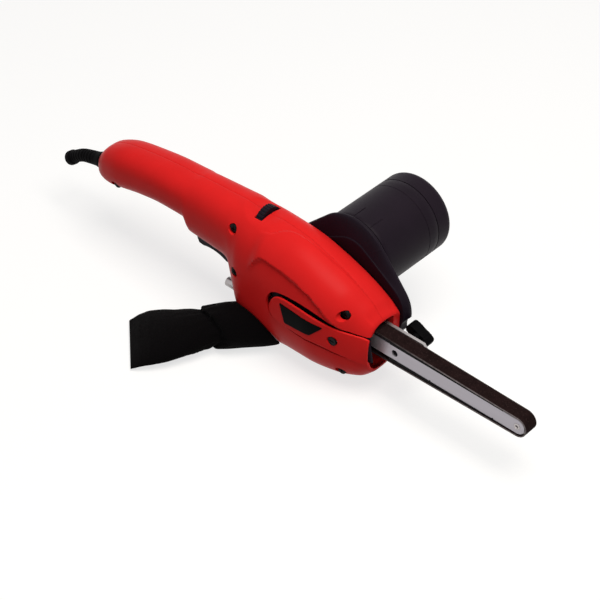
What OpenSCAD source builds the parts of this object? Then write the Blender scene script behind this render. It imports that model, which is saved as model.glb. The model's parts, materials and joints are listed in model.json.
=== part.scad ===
// Power file: a hand-held electric belt file.
// X runs forward along the belt arm, Y to the motor side and Z up. Lengths are in millimetres.
// Pieces are drawn about the middle of the drive pulley. place() then moves them, so that the
// origin lies under the middle of the whole tool, at its lowest point.

/* [Abrasive belt] */
// Width of the abrasive belt
belt_w = 13; // [10:0.5:14]
// Length of the belt along the middle of its thickness
belt_l = 457; // [440:1:480]
// Thickness of the belt
belt_t = 1; // [0.6:0.1:1.2]
// Diameter of the drive pulley
pulley_d = 22; // [21:0.5:23]
// Diameter of the tip roller
tip_d = 14.5; // [14:0.5:16]

/* [Arm] */
// Height of the arm tube
arm_h = 12.7; // [11:0.1:13]
// Width of the arm tube
arm_w = 11; // [10:0.5:11.5]
// Sheet thickness of the arm tube
arm_t = 1.2; // [0.8:0.1:1.5]
// Rear end of the arm, forward of the pulley
arm_rear = 54; // [52:1:55]
// Arm pivot pin, forward of the pulley
pivot_x = 66; // [65:0.5:67]
// Diameter of the arm pivot pin
pivot_d = 5; // [4:0.5:6]
// Tracking screw, forward of the pivot pin
track_gap = 18; // [17:0.5:22]
// Diameter of the tracking screw
track_d = 5; // [4:0.5:6]
// Diameter of the tracking knob
knob_d = 19; // [16:1:20]
// Thickness of the tracking knob
knob_t = 5.5; // [4.5:0.5:7]
// Thickness of the carrier plate
carrier_t = 2.5; // [2:0.5:3]
// Travel of the arm when a belt is changed
arm_travel = 4; // [3:0.5:4.5]
// Diameter of the chrome release rod
rod_d = 5.5; // [4.5:0.5:6]

/* [Housing] */
// Wall of the red housing
wall = 2.5; // [2:0.1:3]
// Rear end of the handle, behind the pulley
handle_rear = 230; // [224:1:236]
// Front of the nose, forward of the pulley
nose_front = 67; // [66:0.5:68]
// Lowest point of the housing, below the pulley
belly_depth = 50; // [48:0.5:54]
// Where the red housing ends on the motor side
flange_y = 20; // [20:0.5:22]
// Squareness of the housing's cross-section
squareness = 2.5; // [2.2:0.1:2.8]
// Height the belt cover stands proud of the housing
cover_proud = 1.2; // [0.8:0.1:1.6]
// Diameter of the counterbores over the housing screws
recess_d = 8.4; // [8:0.1:9]

/* [Motor] */
// Motor axis, forward of the pulley
motor_x = 13; // [12:0.5:14]
// Motor axis, above the pulley
motor_z = 35; // [34:0.5:36]
// Diameter of the motor barrel
barrel_d = 67; // [66:0.5:69]
// Wall of the motor barrel
barrel_wall = 2.5; // [2:0.1:2.5]
// Outer end of the motor
motor_end = 107; // [105:0.5:112]
// Length of the motor end cap
cap_l = 17; // [16:0.5:19]
// Rounding of the end cap's edge
cap_round = 6; // [4:0.5:7]
// Diameter of the motor shaft
shaft_d = 8; // [7:0.5:8]
// Length of the armature and stator stacks
stack_l = 28; // [24:1:30]
// Teeth of the motor pinion
pinion_teeth = 24; // [22:1:26]
// Teeth of the driven gear
gear_teeth = 36; // [34:1:38]
// Face width of the driven gear
gear_w = 5; // [4:0.5:6]
// Diameter of the drive shaft
drive_d = 6; // [5:0.5:7]

/* [Controls] */
// Rear end of the trigger, behind the pulley
trigger_rear = 118; // [116:0.5:120]
// Length of the trigger
trigger_l = 36; // [32:0.5:38]
// Width of the trigger
trigger_w = 16; // [12:0.5:18]
// Diameter of the trigger pin
trigger_pin_d = 4; // [3:0.5:5]
// Diameter of the speed wheel
dial_d = 22; // [20:0.5:24]
// Thickness of the speed wheel
dial_t = 6; // [5:0.5:7]
// Diameter of the lock-on button
lock_d = 10; // [8:0.5:11]
// Travel of the lock-on button
lock_travel = 3; // [2:0.5:3]

/* [Cord boot and dust bag] */
// Length of the strain-relief boot outside the handle
boot_l = 52; // [46:1:56]
// Diameter of the boot where it leaves the handle
boot_d = 15; // [13:0.5:15.5]
// Bore of the boot
boot_bore = 6.8; // [6:0.2:7.4]
// Outer diameter of the dust port
port_d = 30; // [28:0.5:31]
// Wall of the dust port
port_wall = 2.2; // [1.8:0.1:2.6]
// Length of the dust bag with its neck
bag_l = 103; // [95:1:112]

/* [Hidden] */
$fn = 64;

// Gap between neighbours that move or stand free of each other
gap = 0.3;
// Radial clearance of a running fit
fit = 0.03;
// Reach of a cut that passes right through
through = 100;

// Belt loop: inner radii at the two rollers, their distance and the slope of the runs
loop_r0 = pulley_d / 2 + gap;
loop_r1 = tip_d / 2 + gap;
loop_rest = belt_l - PI * (loop_r0 + loop_r1 + belt_t);
tip_x = (loop_rest + sqrt(loop_rest * loop_rest - 8 * pow(loop_r0 - loop_r1, 2))) / 4;
loop_angle = asin((loop_r0 - loop_r1) / tip_x);
function loop_half(x) = (loop_r0 - x * sin(loop_angle)) / cos(loop_angle);

// Housing sections from rear to front: x, right and left half-width, top and bottom
belly = -belly_depth;
handle_step = 124;
grip_l = handle_rear - handle_step;
SECTIONS = [
    [-handle_rear, 7, 7, 22, 9],
    [4 - handle_rear, 12.5, 12.5, 31, 5],
    [14 - handle_rear, 16.5, 16.5, 40.5, 4],
    [-handle_step - 0.7 * grip_l, 19, 19, 47.5, 8],
    [-handle_step - 0.48 * grip_l, 19.5, 19.5, 51.5, 13.5],
    [-handle_step - 0.245 * grip_l, 20, 20, 54.5, 17],
    [-handle_step, 20.5, 20.5, 56, 17.5],
    [6.5 - handle_step, 21, 21, 57, 5.5],
    [-100, 22, 22, 58, 5],
    [-80, 23.5, 23, 59, 4.5],
    [-72, 24.5, 24, 59.5, 0],
    [-64, 27, 25.5, 60, -24],
    [-56, 30.5, 27, 60, belly + 6],
    [-46, 32, 28, 60, belly],
    [-24, 33, 28, 59, belly + 1],
    [-8, 33, 28, 57, belly + 3],
    [15, 33, 28, 50.5, belly + 4],
    [40, 29, 28, 40, belly + 7],
    [57, 22, 28, 29, -38],
    [nose_front, 17, 26.5, 20, -29]
];
ring_points = 28;
last_section = len(SECTIONS) - 1;
function rise(k, i) = (SECTIONS[i + 1][k] - SECTIONS[i][k]) / (SECTIONS[i + 1][0] - SECTIONS[i][0]);
function mean_slope(a, b) = a * b <= 0 ? 0 : 2 * a * b / (a + b);
function slope(k, i) =
    i == 0 ? rise(k, 0)
    : i == last_section ? rise(k, last_section - 1)
    : mean_slope(rise(k, i - 1), rise(k, i));
function section_index(x, i = 0) =
    i >= last_section - 1 || x < SECTIONS[i + 1][0] ? i : section_index(x, i + 1);
function hermite(t, a, b, m0, m1) =
    (2 * t * t * t - 3 * t * t + 1) * a + (t * t * t - 2 * t * t + t) * m0
    + (3 * t * t - 2 * t * t * t) * b + (t * t * t - t * t) * m1;
function profile_in(k, x, i, w) =
    hermite((x - SECTIONS[i][0]) / w, SECTIONS[i][k], SECTIONS[i + 1][k], slope(k, i) * w, slope(k, i + 1) * w);
function profile_at(k, x) = let (i = section_index(x)) profile_in(k, x, i, SECTIONS[i + 1][0] - SECTIONS[i][0]);
function profile(k, x) = profile_at(k, min(nose_front, max(-handle_rear, x)));
function middle_z(x) = (profile(3, x) + profile(4, x)) / 2;
function half_z(x) = (profile(3, x) - profile(4, x)) / 2;
function power(v) = sign(v) * pow(abs(v), 2 / squareness);
function ring_y(x, c, grow) = power(c) * ((c > 0 ? profile(2, x) : profile(1, x)) + grow);
function ring(x, grow) = [
    for (i = [0 : ring_points - 1]) let (a = 360 * i / ring_points)
        [x, ring_y(x, cos(a), grow), middle_z(x) + power(sin(a)) * (half_z(x) + grow)]
];
// Share of the half-width that is left at a given share of the half-height, and the other way round
function remains(share) = pow(max(0, 1 - pow(abs(share), squareness)), 1 / squareness);
function side_y(k, x, z, grow) = (profile(k, x) + grow) * remains((z - middle_z(x)) / (half_z(x) + grow));
function floor_z(x, y, grow) = middle_z(x) - (half_z(x) + grow) * remains(y / (profile(1, x) + grow));

// One smooth body through the housing sections between two stations
segment_faces = concat(
    [[for (i = [0 : ring_points - 1]) i]],
    [[for (i = [ring_points - 1 : -1 : 0]) ring_points + i]],
    [for (i = [0 : ring_points - 1]) let (j = (i + 1) % ring_points) [j, i, ring_points + i, ring_points + j]]
);
module loft_through(stations, grow) {
    for (i = [0 : len(stations) - 2])
        hull()
            polyhedron(concat(ring(stations[i], grow), ring(stations[i + 1], grow)), segment_faces);
}
module loft(x0, x1, grow, steps) {
    loft_through([for (i = [0 : steps]) x0 + (x1 - x0) * i / steps], grow);
}
// The same through every section, with one more station in each long stretch
long_stretch = 12;
STATIONS = [
    for (i = [0 : last_section - 1]) let (x0 = SECTIONS[i][0], x1 = SECTIONS[i + 1][0])
        each x1 - x0 > long_stretch ? [x0, (x0 + x1) / 2] : [x0]
];
module body(x0, x1, grow) {
    loft_through(concat([x0], [for (x = STATIONS) if (x > x0 + 1 && x < x1 - 1) x], [x1]), grow);
}

// Layout across the tool, from the belt towards the motor
carrier_y = belt_w / 2 + 1;
carrier_out = carrier_y + carrier_t;
plate_y = 8.5;
plate_t = 5;
front_wall_y = flange_y + gap;
front_wall_t = 2;
gear_y = front_wall_y + front_wall_t + 0.5;
bracket_y = gear_y + gear_w + 0.5;
bracket_t = 7;
front_bearing_od = 22;
front_bearing_w = 7;
drive_bearing_od = 16;
drive_bearing_w = 5;
rear_bearing_od = 19;
rear_bearing_w = 6;
fan_y = bracket_y + bracket_t + 1.5;
fan_w = 8;
collar_y = 30;
barrel_y = 34;
cap_y = motor_end - cap_l;
cap_wall = 2.5;
stack_y = fan_y + fan_w + 6;
stator_r = barrel_d / 2 - barrel_wall - 0.2;
armature_r = stator_r - 12.4;
air_gap = 0.6;
winding_l = 4.5;
commutator_y = stack_y + stack_l + winding_l + 1;
commutator_l = 8;
commutator_r = 0.6 * armature_r;
rear_bearing_y = motor_end - cap_wall - rear_bearing_w;

// Gear pair on the two drive axes
centre_distance = norm([motor_x, motor_z]);
centre_angle = atan2(motor_z, motor_x);
gear_module = 2 * centre_distance / (pinion_teeth + gear_teeth);
backlash = 0.3;

// Housing screws as x, z, the rear one between the cord clamp and the terminals and above the grip's underside
rear_screw_in = 27;
rear_screw_rise = 6.30499;
rear_screw_x = rear_screw_in - handle_rear;
SCREWS = [[rear_screw_x, profile(4, rear_screw_x) + rear_screw_rise], [-65.5, 46], [-57.5, 12.5], [47, 25], [46, -31]];
screw_r = 1.5;
screw_hole_r = screw_r + gap;
shank_bite = 0.3;
head_r = 3.7;
head_t = 2.6;
recess_depth = 3.5;
boss_r = 4;

// Places on the housing
track_x = pivot_x + track_gap;
cover_post_x = 42.5;
cover_post_z = 2;
cover_post_r = 3.5;
rod_y = -14;
rod_z = -18;
rod_tip = 79;
bar_x = 36;
bar_l = 8;
bar_h = 6;
spring_seat_x = 12.5;
dial_x = -50;
dial_show = 3.2;
dial_z = profile(3, dial_x) + dial_show - dial_d / 2;
lock_x = -97;
lock_z = 30;
trigger_top = 13.5;
trigger_pin_z = 10;
trigger_pin_x = 4.5 - trigger_rear;
boot_angle = 20;
boot_z = 15.5;
boot_x = 2 - handle_rear;
boot_ring_r = 6.4;
boot_tip_r = 5.2;
port_angle = 227;
port_x = -38;
port_y = -24;
port_z = belly + 18.5;
port_out = 24.5;
port_in = 14;

// Dust bag sections: share of its length, half-width and half-height
BAG = [
    [0, 19.5, 18], [0.21, 19.8, 17.8], [0.33, 19.5, 16.6], [0.38, 21.3, 15], [0.5, 25.8, 13.9],
    [0.72, 31, 11], [0.845, 32, 8.3], [0.925, 31, 5.5], [1, 29, 2]
];
bag_points = 24;
bag_clear = 0.4;
bag_start = 2;
function bag_ring_at(b) = let (
    along = bag_start + b[0] * bag_l,
    mid = [port_x + along * cos(port_angle), port_y + along * sin(port_angle)],
    across = [-sin(port_angle), cos(port_angle)]
) [for (i = [0 : bag_points - 1]) let (a = 360 * i / bag_points, w = b[1] * cos(a))
    [mid[0] + across[0] * w, mid[1] + across[1] * w, belly + bag_clear + b[2] * (1 + sin(a))]];
bag_rings = [for (b = BAG) bag_ring_at(b)];

// The whole tool's middle and lowest point
right_most = min([for (r = bag_rings) for (p = r) p[1]]);
front_most = tip_x + loop_r1 + belt_t;
rear_most = boot_x - boot_l * cos(boot_angle) - boot_ring_r * sin(boot_angle);
module place() {
    translate([-(front_most + rear_most) / 2, -(motor_end + right_most) / 2, belly_depth])
        children();
}

// A flat outline in x and z, made solid between two values of y
module between_y(y0, y1) {
    translate([0, y1, 0])
        rotate([90, 0, 0])
            linear_extrude(y1 - y0)
                children();
}
module rod_y(x, z, r, y0, y1) {
    translate([x, y0, z])
        rotate([-90, 0, 0])
            cylinder(r = r, h = y1 - y0);
}
module rod_x(y, z, r, x0, x1) {
    translate([x0, y, z])
        rotate([0, 90, 0])
            cylinder(r = r, h = x1 - x0);
}
module rod_z(x, y, r, z0, z1) {
    translate([x, y, z0])
        cylinder(r = r, h = z1 - z0);
}
module block(x0, x1, y0, y1, z0, z1) {
    translate([x0, y0, z0])
        cube([x1 - x0, y1 - y0, z1 - z0]);
}
module on_motor(y) {
    translate([motor_x, y, motor_z])
        rotate([-90, 0, 0])
            children();
}
module tube(r0, r1, h) {
    difference() {
        cylinder(r = r1, h = h);
        translate([0, 0, -1])
            cylinder(r = r0, h = h + 2);
    }
}

// A wire spring along z, as one tube swept round a helix
spring_sides = 6;
spring_steps = 10;
function spring_point(r, wire, h, turns, i, j) = let (
    a = 360 * i / spring_steps,
    b = 360 * j / spring_sides,
    q = r + wire * cos(b)
) [q * cos(a), q * sin(a), wire + (h - 2 * wire) * i / (turns * spring_steps) + wire * sin(b)];
function spring_gap(r, wire, h, turns) = min([
    for (i = [0 : (turns - 1) * spring_steps])
        let (a = spring_point(r, 0, h - 2 * wire, turns, i, 0))
            norm(spring_point(r, 0, h - 2 * wire, turns, i + spring_steps, 0) - a)
]) - 2 * wire;
module spring(r, wire, h, turns) {
    echo(least_gap_between_coils = spring_gap(r, wire, h, turns));
    rings = turns * spring_steps + 1;
    n = spring_sides;
    polyhedron(
        [for (i = [0 : rings - 1]) for (j = [0 : n - 1]) spring_point(r, wire, h, turns, i, j)],
        concat(
            [[for (j = [0 : n - 1]) j]],
            [[for (j = [n - 1 : -1 : 0]) (rings - 1) * n + j]],
            [for (i = [0 : rings - 2]) for (j = [0 : n - 1]) [i * n + j, (i + 1) * n + j, i * n + (j + 1) % n]],
            [for (i = [0 : rings - 2]) for (j = [0 : n - 1])
                [(i + 1) * n + j, (i + 1) * n + (j + 1) % n, i * n + (j + 1) % n]]
        )
    );
}

// Outline of an involute gear with a tooth on the x axis
pressure = 20;
function involute(a) = tan(a) * 180 / PI - a;
function tooth_half(teeth, r, base) =
    90 / teeth - backlash * 45 / (PI * gear_module * teeth / 2)
    + involute(pressure) - involute(acos(min(1, base / r)));
function tooth_side(teeth, base, tip, steps) = [
    for (i = [0 : steps]) let (r = base + (tip - base) * i / steps) [r, tooth_half(teeth, r, base)]
];
module gear_outline(teeth) {
    pitch = gear_module * teeth / 2;
    base = pitch * cos(pressure);
    root = pitch - 1.25 * gear_module;
    side = tooth_side(teeth, base, pitch + 0.95 * gear_module, 4);
    flank = concat([[root, side[0][1]]], side);
    n = len(flank) - 1;
    polygon([
        for (t = [0 : teeth - 1]) for (i = [0 : 2 * n + 1])
            let (p = i <= n ? [flank[i][0], -flank[i][1]] : flank[2 * n + 1 - i], a = 360 * t / teeth + p[1])
                p[0] * [cos(a), sin(a)]
    ]);
}

// Outline of the belt cover, grown by g
cover_rear_r = 15.3;
cover_mid = [-4.5, 4.5];
cover_front = [3, 10, -12.5];
cover_groove = 1.2;
module cover_outline(g) {
    hull() {
        translate(cover_mid)
            circle(r = cover_rear_r + g, $fn = 32);
        translate([nose_front - cover_front[0], cover_front[2] - g])
            square([cover_front[0] + 4, cover_front[1] - cover_front[2] + 2 * g]);
    }
}
module cover_prism(g) {
    between_y(-through, -belt_w / 2 - 2)
        cover_outline(g);
}

// Screw bosses and counterbores of the housing halves
module right_bosses() {
    for (s = SCREWS)
        rod_y(s[0], s[1], boss_r + 1.8, 1 - side_y(1, s[0], s[1], 0), 0, $fn = 24);
}
module right_screw_holes() {
    for (s = SCREWS) {
        rod_y(s[0], s[1], recess_d / 2, -through, recess_depth - side_y(1, s[0], s[1], 0), $fn = 24);
        rod_y(s[0], s[1], screw_hole_r, -through, 1, $fn = 24);
    }
}
screw_reach = 9;
module left_bosses() {
    for (s = SCREWS)
        difference() {
            rod_y(s[0], s[1], boss_r, 0, side_y(2, s[0], s[1], 0) - 1, $fn = 24);
            rod_y(s[0], s[1], screw_hole_r, -1, screw_reach + 1, $fn = 24);
        }
}

// Ribs from the side walls that hold the switch
switch_x0 = -113;
switch_x1 = -87;
switch_w = 16;
switch_z0 = trigger_top + 5.5;
switch_z1 = switch_z0 + 25.5;
rib_t = 2;
module switch_ribs(side) {
    for (x = [switch_x0 + 3, switch_x1 - 3 - rib_t])
        intersection() {
            loft(x, x + rib_t, 0.5 - wall, 1);
            scale([1, side, 1])
                block(x - 1, x + rib_t + 1, switch_w / 2 + gap, through, switch_z0 + 3, switch_z1 - 3);
        }
}
// Eyes for the trigger pin on the inside of a half
module pin_eyes(side) {
    intersection() {
        loft(trigger_pin_x - 6, trigger_pin_x + 6, 0.5 - wall, 3);
        scale([1, side, 1])
            rod_y(trigger_pin_x, trigger_pin_z, trigger_pin_d / 2 + 2.5, trigger_w / 2 + 1, through);
    }
}

// Cuts that both housing halves share
module shared_cuts() {
    slot_half = trigger_w / 2 + 0.6;
    block(-trigger_rear - 1, trigger_l - trigger_rear + 1, -slot_half, slot_half, -through, trigger_top - 3);
    block(dial_x - dial_t / 2 - 0.8, dial_x + dial_t / 2 + 0.8, -dial_d / 2, dial_d / 2, dial_z, through);
    boot_axis()
        translate([0, 0, -20])
            cylinder(r = boot_d / 2 + gap, h = 60);
    rod_y(trigger_pin_x, trigger_pin_z, trigger_pin_d / 2 + gap, 2 - side_y(1, trigger_pin_x, trigger_pin_z, 0),
        side_y(2, trigger_pin_x, trigger_pin_z, 0) - 2);
}
module boot_axis() {
    translate([boot_x, 0, boot_z])
        rotate([0, -90 - boot_angle, 0])
            children();
}
module port_axis() {
    translate([port_x, port_y, port_z])
        rotate([0, 90, port_angle])
            children();
}

module right_housing() {
    place() color("firebrick") difference() {
        union() {
            difference() {
                body(-handle_rear, nose_front, 0);
                body(wall - handle_rear, nose_front + 1, -wall);
            }
            right_bosses();
            switch_ribs(-1);
            pin_eyes(-1);
            spring_seat();
        }
        block(-3 * through, through, 0, through, -through, through);
        right_screw_holes();
        shared_cuts();
        cover_prism(cover_groove);
        rod_x(rod_y, rod_z, rod_d / 2 + gap, -through, spring_seat_x + 1);
        port_axis()
            translate([0, 0, -port_in])
                cylinder(r = port_d / 2 + gap, h = through);
    }
}
// Rib that backs up the tension spring and guides the release rod
module spring_seat() {
    intersection() {
        loft(spring_seat_x - 4, spring_seat_x, 0.5 - wall, 2);
        block(spring_seat_x - 2.5, spring_seat_x, -40, -belt_w / 2 - 2.5, -30, cover_front[2] + 1);
    }
}
module left_housing() {
    place() color("firebrick") difference() {
        union() {
            difference() {
                body(-handle_rear, nose_front, 0);
                body(wall - handle_rear, nose_front + 1, -wall);
            }
            left_bosses();
            switch_ribs(1);
            pin_eyes(1);
        }
        block(-3 * through, through, -through, 0, -through, through);
        collar_body(flange_y, gap);
        shared_cuts();
        rod_y(lock_x, lock_z, lock_d / 2 + gap, switch_w / 2, through);
    }
}
module belt_cover() {
    place() color("firebrick") difference() {
        intersection() {
            cover_prism(0);
            difference() {
                loft(-22, nose_front, cover_proud, 14);
                loft(-23, nose_front + 1, -1.2, 14);
            }
        }
        rod_y(cover_post_x, cover_post_z, recess_d / 2, -through, cover_screw_y);
        rod_y(cover_post_x, cover_post_z, screw_hole_r, -through, 0);
    }
}
cover_head_t = 1.2;
cover_screw_y = cover_head_t + gap - side_y(1, cover_post_x, cover_post_z, cover_proud);
plate_outline = [[-8, 11.5], [33, 11.5], [17, -5], [-3, -5]];
module nameplate() {
    place() color("black") intersection() {
        between_y(-through, -belt_w / 2)
            polygon(plate_outline);
        difference() {
            loft(-12, 38, cover_proud + gap + 0.5, 8);
            loft(-13, 39, cover_proud + gap, 8);
        }
    }
}
module housing_screws() {
    place() color("dimgray") for (s = SCREWS) {
        y0 = recess_depth - side_y(1, s[0], s[1], 0);
        difference() {
            rod_y(s[0], s[1], head_r, y0 - head_t, y0);
            translate([s[0], y0 - head_t, s[1]])
                cube([4, 2, 0.9], center = true);
            translate([s[0], y0 - head_t, s[1]])
                cube([0.9, 2, 4], center = true);
        }
        rod_y(s[0], s[1], screw_r, y0 - shank_bite, screw_reach);
    }
}
module cover_screw() {
    place() color("dimgray") {
        difference() {
            rod_y(cover_post_x, cover_post_z, head_r, cover_screw_y - cover_head_t, cover_screw_y);
            translate([cover_post_x, cover_screw_y - cover_head_t, cover_post_z])
                cube([4, 1.4, 0.9], center = true);
        }
        rod_y(cover_post_x, cover_post_z, screw_r, cover_screw_y - shank_bite, cover_screw_y + 14);
    }
}
post_end = cover_screw_y + 4;
module cover_post() {
    place() color("silver") difference() {
        rod_y(cover_post_x, cover_post_z, cover_post_r, post_end, front_wall_y);
        rod_y(cover_post_x, cover_post_z, screw_r + fit, post_end - 1, cover_screw_y + 16);
    }
}

// Black motor housing: a collar that widens from the red housing, then the barrel
collar_r = barrel_d / 2 + 4.5;
collar_flare = 8;
flare_y = 26;
COLLAR = [[56, -9, 14.5, 0.8], [-25, 31, 13, collar_flare], [-3, -7, 23, 0.8]];
module collar(y0, y1, g, flare) {
    rod_y(motor_x, motor_z, collar_r - flare * collar_flare + g, y0, y1, $fn = 64);
    for (c = COLLAR)
        rod_y(c[0], c[1], c[2] - flare * c[3] + g, y0, y1, $fn = 32);
}
module collar_body(y0, g) {
    hull() {
        collar(y0, y0 + 0.5, g, 1);
        collar(flare_y, through, g, 0);
    }
}
vent_count = 5;
bearing_boss_r = drive_bearing_od / 2 + 7;
module motor_housing() {
    place() color("#1b1b1d") {
        motor_shell();
        cap_bosses();
    }
}
module motor_shell() {
    difference() {
        union() {
            hull() {
                collar(front_wall_y, front_wall_y + 0.5, 0, 1);
                collar(flare_y, collar_y, 0, 0);
            }
            hull() {
                collar(collar_y - 1, collar_y, -1.5, 0);
                on_motor(barrel_y - 1)
                    cylinder(d = barrel_d + 3, h = 1);
            }
            on_motor(barrel_y - 1)
                cylinder(d = barrel_d, h = cap_y - barrel_y + 1);
            rod_y(0, 0, bearing_boss_r, front_wall_y, bracket_y + bracket_t + 1.5);
            carrier_rails();
        }
        hull() {
            collar(front_wall_y + front_wall_t, gear_y, -wall, 1);
            collar(collar_y - 2.5, collar_y - 2, -wall, 0);
        }
        on_motor(bracket_y - gap)
            cylinder(d = barrel_d - 2 * barrel_wall, h = motor_end);
        rod_y(0, 0, bearing_boss_r - 2, front_wall_y + front_wall_t, bracket_y + bracket_t);
        on_motor(front_wall_y - 1)
            cylinder(d = shaft_d + 4, h = 10);
        rod_y(0, 0, drive_d / 2 + 4, front_wall_y - 1, bracket_y);
        for (i = [1 : vent_count])
            on_motor(cap_y - 16)
                rotate(180 * i / (vent_count + 1))
                    translate([barrel_d / 2 - 5, -2, 0])
                        cube([8, 4, 11]);
    }
}
// Two rails on the front wall that guide the arm carrier
carrier_top = 10;
carrier_low = -8.5;
rail_h = 2.5;
rail_rear = 30;
rail_front = 55;
module carrier_rails() {
    block(rail_rear, rail_front, carrier_y, front_wall_y + 1, carrier_top + gap, carrier_top + gap + rail_h);
    block(bar_x + bar_l + 2, rail_front, carrier_y, front_wall_y + 1,
        carrier_low - gap - rail_h, carrier_low - gap);
}
module motor_end_cap() {
    place() color("#1b1b1d") on_motor(0) difference() {
        union() {
            rotate_extrude($fn = 96) difference() {
                union() {
                    translate([0, cap_y])
                        square([barrel_d / 2, cap_l - cap_round]);
                    translate([0, cap_y])
                        square([barrel_d / 2 - cap_round, cap_l]);
                    translate([barrel_d / 2 - cap_round, motor_end - cap_round])
                        circle(cap_round);
                }
                translate([0, cap_y - 1])
                    square([barrel_d / 2 - barrel_wall, cap_l - cap_round - 1]);
                translate([0, cap_y - 1])
                    square([barrel_d / 2 - barrel_wall - cap_round, cap_l + 1 - cap_wall]);
            }
            translate([0, 0, rear_bearing_y])
                tube(rear_bearing_od / 2, rear_bearing_od / 2 + 2.5, rear_bearing_w + 1);
        }
        for (i = [0 : 7])
            rotate(45 * i + 22.5)
                translate([cap_vent_r, -1.6, motor_end - cap_wall - 1])
                    cube([barrel_d / 2 - barrel_wall - 7 - cap_vent_r, 3.2, 6]);
        at_cap_screws() {
            translate([0, 0, cap_y - 1])
                cylinder(r = screw_hole_r, h = cap_l + 2);
            translate([0, 0, motor_end - cap_head_t])
                cylinder(r = cap_head_r + gap, h = 5);
        }
    }
}
cap_vent_r = rear_bearing_od / 2 + 7.5;
cap_screw_r = barrel_d / 2 - barrel_wall - 6.5;
cap_head_r = 2.5;
cap_head_t = 1.2;
cap_boss_l = 6;
cap_boss_r = 4.2;
cap_web = 7;
module at_cap_screws() {
    for (i = [0 : 3])
        rotate(90 * i + 45)
            translate([cap_screw_r, 0, 0])
                children();
}
module cap_screws() {
    place() color("dimgray") on_motor(0) at_cap_screws() {
        translate([0, 0, cap_y - cap_boss_l + 1])
            cylinder(r = screw_r, h = cap_l + cap_boss_l - 1 - cap_head_t + shank_bite);
        translate([0, 0, motor_end - cap_head_t])
            difference() {
                cylinder(r = cap_head_r, h = cap_head_t - gap);
                translate([0, 0, cap_head_t - gap])
                    cube([4, 0.8, 1], center = true);
            }
    }
}
// Bosses inside the barrel for the end cap's screws
module cap_bosses() {
    on_motor(cap_y - cap_boss_l) at_cap_screws() difference() {
        union() {
            cylinder(r = cap_boss_r, h = cap_boss_l);
            translate([0, -cap_web / 2, 0])
                cube([barrel_d / 2 - barrel_wall - cap_screw_r + 1, cap_web, cap_boss_l]);
        }
        translate([0, 0, -1])
            cylinder(r = screw_r + fit, h = cap_boss_l + 2);
    }
}
// Metal plate behind the front wall, with seats for two bearings
bracket_r = barrel_d / 2 - barrel_wall - 1;
bracket_web = 8;
bracket_window_r = (bracket_r - front_bearing_od / 2) / 2 - 4.5;
module bearing_bracket() {
    side = bracket_web * [-sin(centre_angle), cos(centre_angle)];
    place() color("silver") difference() {
        union() {
            on_motor(bracket_y)
                cylinder(r = bracket_r, h = bracket_t);
            rod_y(0, 0, bearing_boss_r - 2 - gap, bracket_y, bracket_y + bracket_t);
            between_y(bracket_y, bracket_y + bracket_t)
                polygon([side, -side, [motor_x, motor_z] - side, [motor_x, motor_z] + side]);
        }
        on_motor(bracket_y - 1)
            cylinder(d = front_bearing_od, h = bracket_t + 2);
        rod_y(0, 0, drive_bearing_od / 2, bracket_y - 1, bracket_y + drive_bearing_w);
        for (a = [20, 90, 160])
            on_motor(bracket_y - 1)
                rotate(-a)
                    translate([(bracket_r + front_bearing_od / 2) / 2, 0, 0])
                        cylinder(r = bracket_window_r, h = bracket_t + 2);
    }
}
post_at = [[-24, -17], [24, -17]];
module gear_plate() {
    place() color("silver") difference() {
        union() {
            rod_y(0, 0, drive_bearing_od / 2 + 4, plate_y, plate_y + plate_t);
            for (p = post_at) {
                rod_y(p[0], p[1], 4.5, plate_y, plate_y + plate_t);
                rod_y(p[0], p[1], 3, plate_y, front_wall_y);
                between_y(plate_y, plate_y + plate_t)
                    polygon([[0, 6], [0, -9], [p[0], p[1] - 4], [p[0] * 1.1, p[1] + 3]]);
            }
        }
        rod_y(0, 0, drive_bearing_od / 2, plate_y - 1, plate_y + plate_t + 1);
    }
}

// Motor: wound stator, armature and brushes
pole_angle = 56;
module sector(r0, r1, a0, a1, y0, y1) {
    on_motor(y0)
        rotate(a0)
            rotate_extrude(angle = a1 - a0)
                translate([r0, 0])
                    square([r1 - r0, y1 - y0]);
}
pole_r = armature_r + air_gap;
yoke_r = stator_r - 6;
module stator_core() {
    place() color("slategray") {
        on_motor(stack_y)
            tube(yoke_r, stator_r, stack_l);
        for (a = [0, 180])
            sector(pole_r, yoke_r + 1, a - pole_angle, a + pole_angle, stack_y, stack_y + stack_l);
    }
}
module field_windings() {
    place() color("peru") for (a = [0, 180]) {
        for (s = [-1, 1])
            sector(pole_r + 0.6, yoke_r - 0.3, a + s * (pole_angle + 17) - 15, a + s * (pole_angle + 17) + 15,
                stack_y - 1, stack_y + stack_l + 1);
        for (y = [stack_y - winding_l, stack_y + stack_l + 0.3])
            sector(pole_r + 1, yoke_r - 0.6, a - pole_angle - 30, a + pole_angle + 30, y, y + winding_l - 0.3);
    }
}
brush_w = 6;
holder_l = barrel_d / 2 - barrel_wall - cap_round + 4 - commutator_r;
brush_y = commutator_y + 1;
module brush_holders() {
    place() color("goldenrod") for (a = [0, 180])
        on_motor(brush_y - 1)
            rotate(a)
                difference() {
                    translate([commutator_r + 1.5, -brush_w / 2 - 1, 0])
                        cube([holder_l, brush_w + 2, brush_w + 2]);
                    translate([0, -brush_w / 2, 1])
                        cube([barrel_d / 2 - barrel_wall - 1.5, brush_w, brush_w]);
                }
}
module carbon_brushes() {
    place() color("dimgray") for (a = [0, 180])
        on_motor(brush_y)
            rotate(a)
                translate([commutator_r + gap, -brush_w / 2, 0])
                    cube([holder_l - 5, brush_w, brush_w]);
}
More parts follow.
